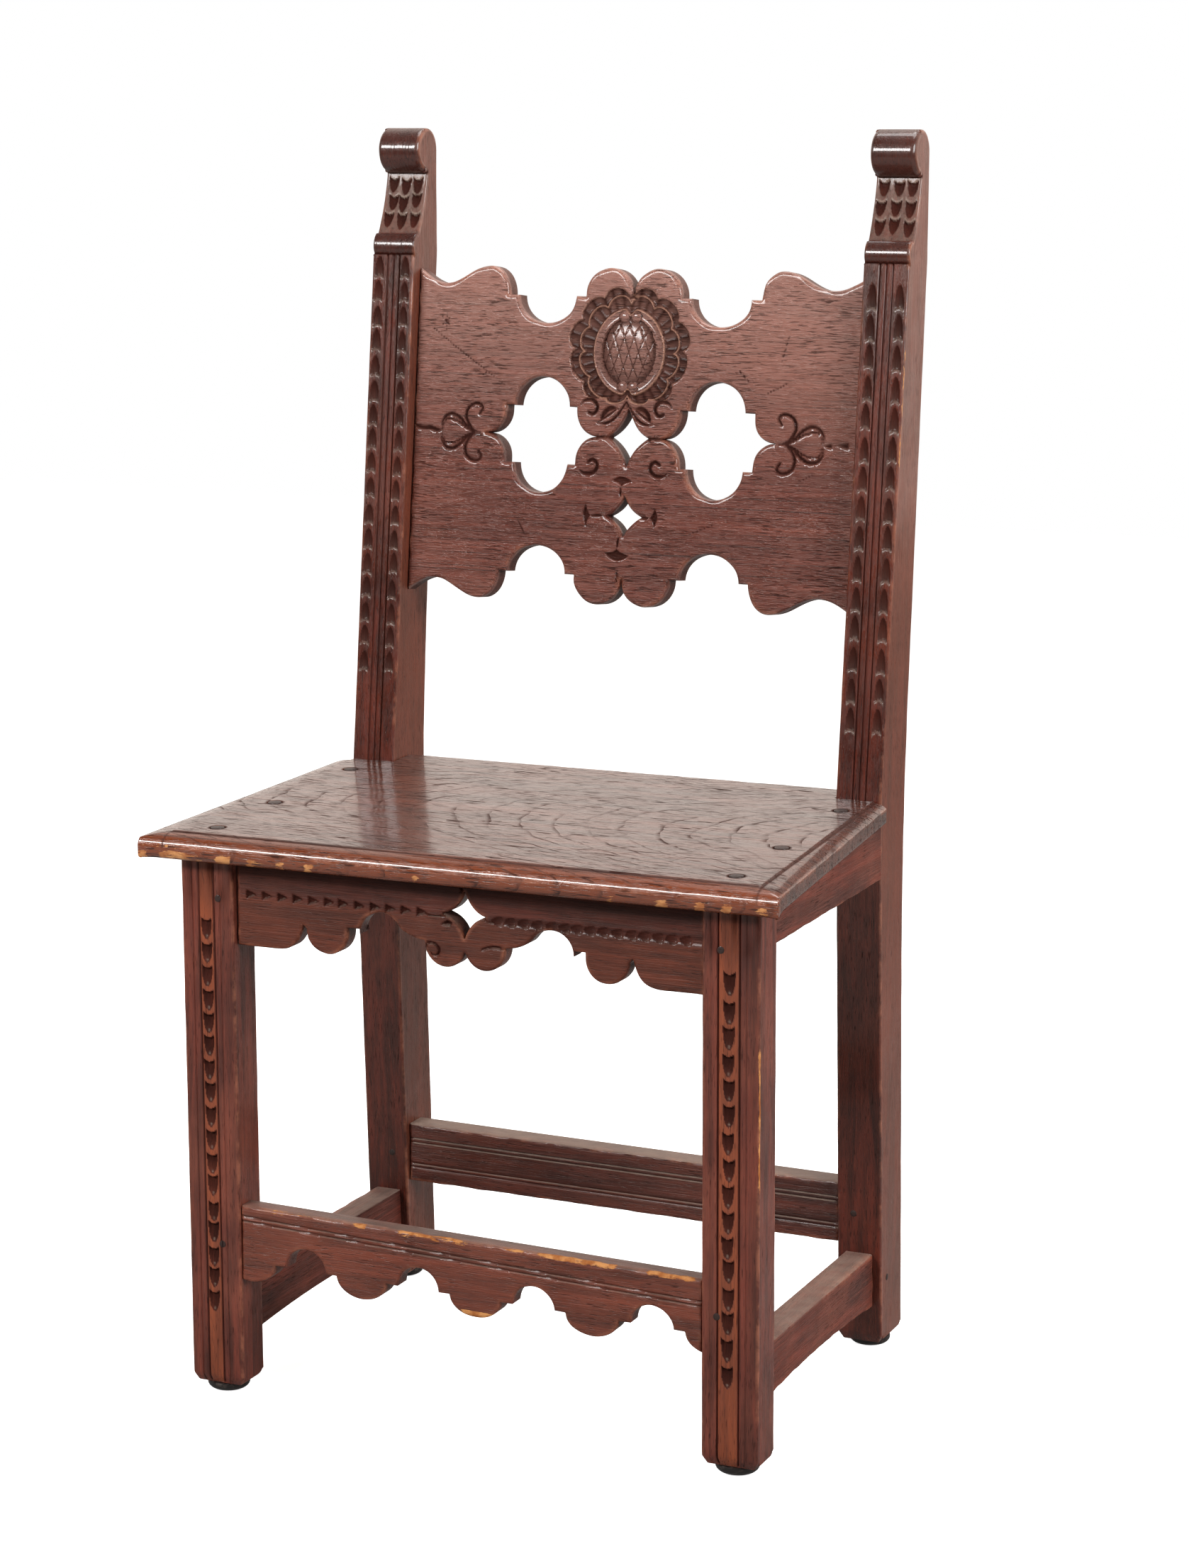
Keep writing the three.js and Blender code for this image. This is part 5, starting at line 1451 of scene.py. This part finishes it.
def wood(name, grain, tones, warm=WARM, roughness=0.36, gloss=0.4, sheen=0.25, bump=0.5, pores=0.6,
         streaks=0.3, patchy=0.5, dust=0.0, lines=0.0, polished=0.0, side_glow=0.0, pale_top=0.0,
         figure_scale=FIGURE, crown=False):
    """Stained and varnished wood, worn by use.
    It has fibres, open pores, soiling and dust in the cuts, rubbed edges and bare spots, and painted light:
    shade through the cut mark, highlights through the rim mark, light on side faces and a sheen towards the
    top. Its tones are the base, a dark and a light one. Gloss is of the varnish and sheen of the coat on it,
    and polished is the coat where hands and feet rub. Pores, streaks, patchy, dust, lines, side_glow and
    pale_top say how much there is of each, from 0 to 1: side_glow of painted light on the side faces,
    pale_top of a painted sheen towards the top."""
    n = Nodes(bpy.data.materials.new(name))
    place = n.place()
    base, dark, light = tones

    def fibres(changes, detail, roughness, distortion=0.0):
        """Noise drawn out along the grain."""
        along, across = changes
        scale = tuple(along if axis == grain else across for axis in range(3))
        return n.noise(n.stretch(place, scale), 1.0, detail, roughness, distortion)

    # Grain
    cut, edge, dusty, warmth, bare, rim = [n.mark(m) for m in ("cut", "edge", "dust", "warm", "bare", "rim")]
    broad = n.noise(place, 9.0, 4.0, 0.6)
    figure = fibres(figure_scale, 6.0, 0.62, 0.6)
    fibre = fibres(FIBRES, 4.0, 0.65)
    pore = n.ramp(fibres(PORES, 2.0, 0.5), 0.56, 0.68)
    pore = n.times(pore, n.ramp(n.noise(place, 23.0, 2.0), 0.35, 0.6, 0.35, 1.0))
    pore = n.times(pore, pores)
    colour = n.mix(n.ramp(figure, 0.35, 0.7), dark, base)
    colour = n.mix(n.ramp(broad, 0.42, 0.75, 0.0, patchy), colour, light)
    colour = n.mix(n.times(warmth, n.ramp(figure, 0.25, 0.7, 0.45, 1.0)), colour, warm)
    colour = n.mix(n.ramp(fibre, 0.25, 0.47, 0.4, 0.0), colour, light)
    colour = n.mix(n.ramp(fibre, 0.5, 0.72, 0.0, 0.4), colour, dark)
    colour = n.mix(n.times(warmth, 0.55 * crown), colour, warm)

    # Stain
    facing = n.split(n.make("ShaderNodeNewGeometry").outputs["Normal"])
    side = n.ramp(n.math("ABSOLUTE", facing["X"]), *SIDE_FACING)
    line = n.ramp(fibres(DARK_LINES, 3.0, 0.5), 0.62, 0.68)
    colour = n.mix(n.times(line, lines), colour, STAIN)
    stained = n.ramp(fibres(STAINS, 5.0, 0.65), 0.5, 0.68)
    streaky = n.ramp(side, 0.0, 1.0, streaks, streaks * 0.3)
    colour = n.mix(n.times(stained, streaky), colour, STAIN)
    # Painted light: side faces lighter and browner
    colour = n.mix(n.times(side, side_glow), colour, SIDE_LIGHT)
    # Painted sheen: paler and greyer towards the top
    colour = n.mix(n.ramp(n.split(place)["Z"], *PALE_LEVELS, 0.0, pale_top), colour, SHEEN_GREY)
    open_grain = pore
    if crown:
        dashes = n.ramp(fibres(DASHES, 2.0, 0.5), 0.61, 0.65, 0.0, 0.9)
        growth = n.most(crown_lines(n, place), dashes)
        colour = n.mix(growth, colour, dark)
        open_grain = n.most(pore, growth)
    colour = n.mix(pore, colour, PORE_TINT)

    # Wear
    # The cut mark darkens the wood: soiling in the carved cuts, and painted shade in the gouges, on the apron
    # under the seat, in the gaps round the seat's pegs and round the rosette's dome
    grime_and_shade_patches = n.ramp(n.noise(place, 60.0, 3.0), 0.3, 0.7, 0.82, 1.0)
    colour = n.mix(n.times(cut, grime_and_shade_patches), colour, GRIME_AND_SHADE)
    rub = n.ramp(n.noise(place, 42.0, 4.0, 0.7), 0.42, 0.68)
    colour = n.mix(n.times(n.times(edge, rub), 0.6), colour, RUBBED)
    # Painted highlight on the carved rim lines
    colour = n.mix(n.times(rim, 0.85), colour, HIGHLIGHT_TINT)
    cloudy = n.ramp(n.noise(place, 45.0, 4.0, 0.7), 0.25, 0.7, 0.5, 1.0)
    lying = n.times(n.times(n.ramp(facing["Z"], 0.35, 0.97), cloudy), dust)
    grainy = n.ramp(n.noise(place, 240.0, 3.0, 0.7), 0.3, 0.65, 0.5, 1.0)
    grey = n.most(n.times(dusty, grainy), lying)
    colour = n.mix(grey, colour, DUST)
    ragged = n.times(n.math("SUBTRACT", fibres(SPLINTERS, 4.0, 0.75), 0.5), 2.2)
    chipped = n.times(n.ramp(n.plus(bare, ragged), 0.62, 0.70), n.ramp(bare, 0.05, 0.3))
    tan = n.mix(n.ramp(n.noise(place, 130.0, 3.0), 0.35, 0.65), BARE, BARE_BROWN)
    colour = n.mix(chipped, colour, tan)

    # Surface
    dull = n.most(n.times(side, 0.15), cut, grey, chipped, open_grain)
    rough = n.ramp(n.noise(place, 30.0, 4.0, 0.6), 0.3, 0.75, roughness - 0.08, roughness + 0.08)
    rough = n.plus(rough, n.times(n.ramp(fibre, 0.4, 0.7), 0.18))
    rough = n.math("ADD", rough, n.times(dull, 0.3), clamp=True)
    height = n.plus(n.times(fibre, -1.3), n.times(pore, -1.0))
    height = n.plus(height, n.times(n.noise(place, 110.0, 3.0, 0.6), 0.25))
    height = n.plus(height, n.times(chipped, -1.5))
    bumped = n.make("ShaderNodeBump", inputs={"Strength": bump, "Distance": BUMP_HEIGHT, "Height": height})
    coat = n.ramp(dull, 0.0, 1.0, sheen, 0.0)
    if polished:
        shine = n.ramp(cut, 0.0, 1.0, polished, polished * 0.15)
        coat = n.most(coat, n.times(n.most(warmth, edge), shine))
    return n.finish(n.make("ShaderNodeBsdfPrincipled", inputs={
        "Base Color": colour,
        "Roughness": rough,
        "Normal": bumped.outputs[0],
        "Coat Roughness": COAT_ROUGHNESS,
        "Coat Weight": coat,
        "Specular IOR Level": n.ramp(dull, 0.0, 1.0, gloss, gloss * 0.2),
        "Specular Tint": VARNISH,
    }))


def blackened(name):
    """Black-brown enamel on steel, scuffed where it rests."""
    n = Nodes(bpy.data.materials.new(name))
    scuff = n.ramp(n.noise(n.place(), 170.0, 4.0, 0.7), 0.5, 0.7)
    bumped = n.make("ShaderNodeBump", inputs={"Strength": 0.2, "Distance": 0.0003, "Height": scuff})
    return n.finish(n.make("ShaderNodeBsdfPrincipled", inputs={
        "Base Color": n.mix(scuff, ENAMEL, SCUFFED),
        "Roughness": n.ramp(scuff, 0.0, 1.0, 0.28, 0.5),
        "Normal": bumped.outputs[0],
    }))


# Stains: the base, a dark and a light tone
RED = (tint(90, 36, 25), tint(50, 19, 13), tint(116, 56, 40))
BROWN = (tint(112, 50, 37), tint(66, 28, 21), tint(138, 74, 56))
UMBER = (tint(86, 38, 28), tint(52, 22, 17), tint(106, 56, 43))
RUSSET = (tint(104, 46, 34), tint(60, 25, 19), tint(128, 68, 52))
PANEL = (tint(110, 54, 42), tint(82, 37, 28), tint(138, 80, 64))
SEAT = (tint(96, 45, 29), tint(50, 22, 14), tint(122, 66, 45))
BLACK_BROWN = (tint(40, 21, 18), tint(26, 14, 12), tint(56, 32, 27))
PANEL_WARM = tint(70, 32, 22)
POST_WARM = tint(48, 19, 14)
SEAT_WARM = tint(112, 47, 12)


def make_woods():
    return {
        "panel": wood("panel_wood", GRAIN_ACROSS, PANEL, PANEL_WARM, roughness=0.3, gloss=0.55, sheen=0.4,
                      bump=1.0, pores=0.7, streaks=0.1, patchy=0.35, lines=0.6, polished=0.8, pale_top=0.52,
                      figure_scale=FINE_FIGURE),
        "post": wood("post_wood", GRAIN_UPRIGHT, RED, POST_WARM, roughness=0.3, sheen=0.32, streaks=0.2,
                     polished=0.85, side_glow=0.28),
        "leg": wood("leg_wood", GRAIN_UPRIGHT, BROWN, streaks=0.5),
        "apron": wood("apron_wood", GRAIN_ACROSS, RUSSET, dust=0.4, streaks=0.35),
        "rail": wood("rail_wood", GRAIN_DEEP, BROWN, roughness=0.5, sheen=0.05, dust=0.6),
        "rear": wood("rear_wood", GRAIN_ACROSS, UMBER, dust=0.75),
        "seat": wood("seat_wood", GRAIN_ACROSS, SEAT, SEAT_WARM, roughness=0.2, gloss=0.55, sheen=0.85,
                     bump=0.4, pores=1.0, streaks=0.15, patchy=0.3, lines=0.5, polished=0.75, crown=True),
        "peg": wood("peg_wood", GRAIN_UPRIGHT, BLACK_BROWN, roughness=0.5),
        "glide": blackened("glide_enamel"),
    }


# Studio: softboxes have a name, a place and a size in metres, and a power in watts
LIGHTS = (
    ("key", (-1.15, -2.3, 1.82), (1.4, 0.55), 82),
    ("right", (2.7, -0.9, 1.7), (1.3, 1.3), 84),
    ("top", (0.3, 0.6, 3.2), (2.0, 1.4), 52),
)
LIGHT_TARGET = (0, 0, 0.55)
FLOOR_HALF = 6.0
FLOOR_GLOW = 0.74  # lifts the floor to white and leaves faint shadows at the feet
PAPER = (tint(240, 240, 240), tint(244, 244, 244))
DIM_PAPER = tint(150, 148, 146)  # what the chair mirrors of it
WHITE = (1, 1, 1, 1)
WARM_WHITE = (1.0, 0.88, 0.8, 1.0)  # what the varnish mirrors
FRONT_GLOW = 0.07  # of the dim room before the chair
BACK_GLOW = 1.0  # of the white wall behind it
WALL_START = (-0.05, 0.6)  # along Y of a direction, from the dim room to the full wall


def add_to_scene(name, data):
    """An object of the studio."""
    thing = bpy.data.objects.new(name, data)
    bpy.context.scene.collection.objects.link(thing)
    return thing


def make_camera():
    data = bpy.data.cameras.new("camera")
    data.sensor_fit = "HORIZONTAL"
    data.sensor_width = SENSOR_WIDTH
    data.lens = FOCAL_PIXELS / PHOTO_SIZE[0] * SENSOR_WIDTH
    data.shift_x = -CENTRE_SHIFT[0] / PHOTO_SIZE[0]
    data.shift_y = CENTRE_SHIFT[1] / PHOTO_SIZE[0]
    data.clip_start = 0.1
    data.clip_end = 40.0
    camera = add_to_scene("camera", data)
    yaw = Matrix.Rotation(CAMERA_YAW, 3, "Z")
    pitch = Matrix.Rotation(math.pi / 2 - CAMERA_PITCH, 3, "X")
    roll = Matrix.Rotation(-CAMERA_ROLL, 3, "Z")
    camera.rotation_euler = (yaw @ pitch @ roll).to_euler()
    camera.location = [v * MM for v in CAMERA_PLACE]
    bpy.context.scene.camera = camera


def area_light(name, place, size, power):
    data = bpy.data.lights.new(name, "AREA")
    data.shape = "RECTANGLE"
    data.size, data.size_y = size
    data.energy = power
    light = add_to_scene(name, data)
    light.location = place
    light.rotation_euler = (Vector(LIGHT_TARGET) - Vector(place)).to_track_quat("-Z", "Y").to_euler()


def paper():
    """White paper for the camera, dimmer paper for what mirrors it."""
    n = Nodes(bpy.data.materials.new("paper"))
    lit = n.make("ShaderNodeBsdfDiffuse", inputs={"Color": n.mix(n.noise(n.place(), 3.0), *PAPER)})
    dim = n.make("ShaderNodeBsdfDiffuse", inputs={"Color": DIM_PAPER})
    glow = n.make("ShaderNodeEmission", inputs={"Color": WHITE, "Strength": FLOOR_GLOW})
    bright = n.make("ShaderNodeAddShader", inputs={0: lit.outputs[0], 1: glow.outputs[0]})
    seen = n.make("ShaderNodeLightPath").outputs["Is Camera Ray"]
    both = {0: seen, 1: dim.outputs[0], 2: bright.outputs[0]}
    return n.finish(n.make("ShaderNodeMixShader", inputs=both))


def make_world():
    """White for the camera, and for all else a dim room before the chair and a white wall behind it."""
    n = Nodes(bpy.data.worlds.new("studio"))
    towards = n.split(n.make("ShaderNodeTexCoord").outputs["Generated"])["Y"]
    glow = n.ramp(towards, *WALL_START, FRONT_GLOW, BACK_GLOW)
    room = n.make("ShaderNodeBackground", inputs={"Color": WARM_WHITE, "Strength": glow})
    white = n.make("ShaderNodeBackground", inputs={"Color": WHITE, "Strength": 1.0})
    seen = n.make("ShaderNodeLightPath").outputs["Is Camera Ray"]
    both = n.make("ShaderNodeMixShader", inputs={0: seen, 1: room.outputs[0], 2: white.outputs[0]})
    n.make("ShaderNodeOutputWorld", inputs={"Surface": both.outputs[0]})
    return n.owner


def make_studio():
    mesh = bpy.data.meshes.new("floor")
    corners = [(-1, -1), (1, -1), (1, 1), (-1, 1)]
    mesh.from_pydata([(x * FLOOR_HALF, y * FLOOR_HALF, 0) for x, y in corners], [], [(0, 1, 2, 3)])
    mesh.materials.append(paper())
    add_to_scene("floor", mesh)
    bpy.context.scene.world = make_world()
    for name, place, size, power in LIGHTS:
        area_light(name, place, size, power)


# The chair: boards with the way they face and their wood
BOARDS = (
    ("front_apron", (0, -1, 0), "apron"),
    ("front_stretcher", (0, -1, 0), "apron"),
    ("rear_stretcher", (0, -1, 0), "rear"),
    ("rear_rail", (0, -1, 0), "rear"),
    ("side_stretcher_left", (-1, 0, 0), "rail"),
    ("side_stretcher_right", (1, 0, 0), "rail"),
    ("side_rail_left", (-1, 0, 0), "rail"),
    ("side_rail_right", (1, 0, 0), "rail"),
)
CARVED_BOARDS = {
    "front_apron": apron_relief,
    "front_stretcher": front_stretcher_relief,
    "rear_stretcher": rear_stretcher_relief,
}
BACK_BOARD_FRONT = (0, -1, 0.1)  # it leans back
ROSETTE_BOX = ((-62, -106), (60, 127))


def make_back_board(material):
    plane, loops = board_plane("back_board", BACK_BOARD_FRONT)
    board = plate("back_board_carved", plane, loops, material, back_board_relief,
                  extra=(ROSETTE_BOX, FINE_STEP), arris=BOARD_ARRIS, warp=move_pattern,
                  walls=lambda rim, share: {"cut": WALL_DARKENING})
    stand_in_for(board, "back_board")


def make_boards(woods):
    for name, front, kind in BOARDS:
        across = (1, 0, 0) if front[0] == 0 else (0, 1, 0)
        plane, loops = board_plane(name, front, across)
        relief, shape = plain_relief, {"step": PLAIN_BOARD_STEP}
        if name in CARVED_BOARDS:
            relief, shape = CARVED_BOARDS[name](plane), {"step": CARVED_STEP}
        if name in STRETCHER_TILTS:
            shape["warp"] = tilted(name, loops)
        board = plate(name + "_worked", plane, loops, woods[kind], relief, **shape)
        stand_in_for(board, name)


def make_uprights(word, side, woods):
    post = member("rear_post_" + word, side, woods["post"], post_relief(word), change=grow_ovolo)
    stand_in_for(post, "rear_post_" + word)
    leg = member("front_leg_" + word, side, woods["leg"], leg_relief(word), drift=LEG_DRIFT)
    stand_in_for(leg, "front_leg_" + word)


def main():
    bpy.context.scene.view_settings.view_transform = "Standard"
    make_camera()
    make_studio()
    woods = make_woods()
    make_back_board(woods["panel"])
    make_boards(woods)
    seat = make_seat(woods["seat"])
    for word, side in (("left", -1), ("right", 1)):
        make_uprights(word, side, woods)
        for row in ("front", "middle", "rear"):
            dowel("seat_peg_" + row + "_" + word, -seat.into, woods["peg"])
        for board in ("apron", "front_stretcher", "rear_stretcher"):
            dowel(board + "_peg_" + word, (0, -1, 0), woods["peg"])
        dowel("side_stretcher_peg_" + word, (side, 0, 0), woods["peg"])
        glide_dome("front_glide_" + word, woods["glide"], drift=LEG_DRIFT * LEG_STILL)
        glide_dome("rear_glide_" + word, woods["glide"])


main()
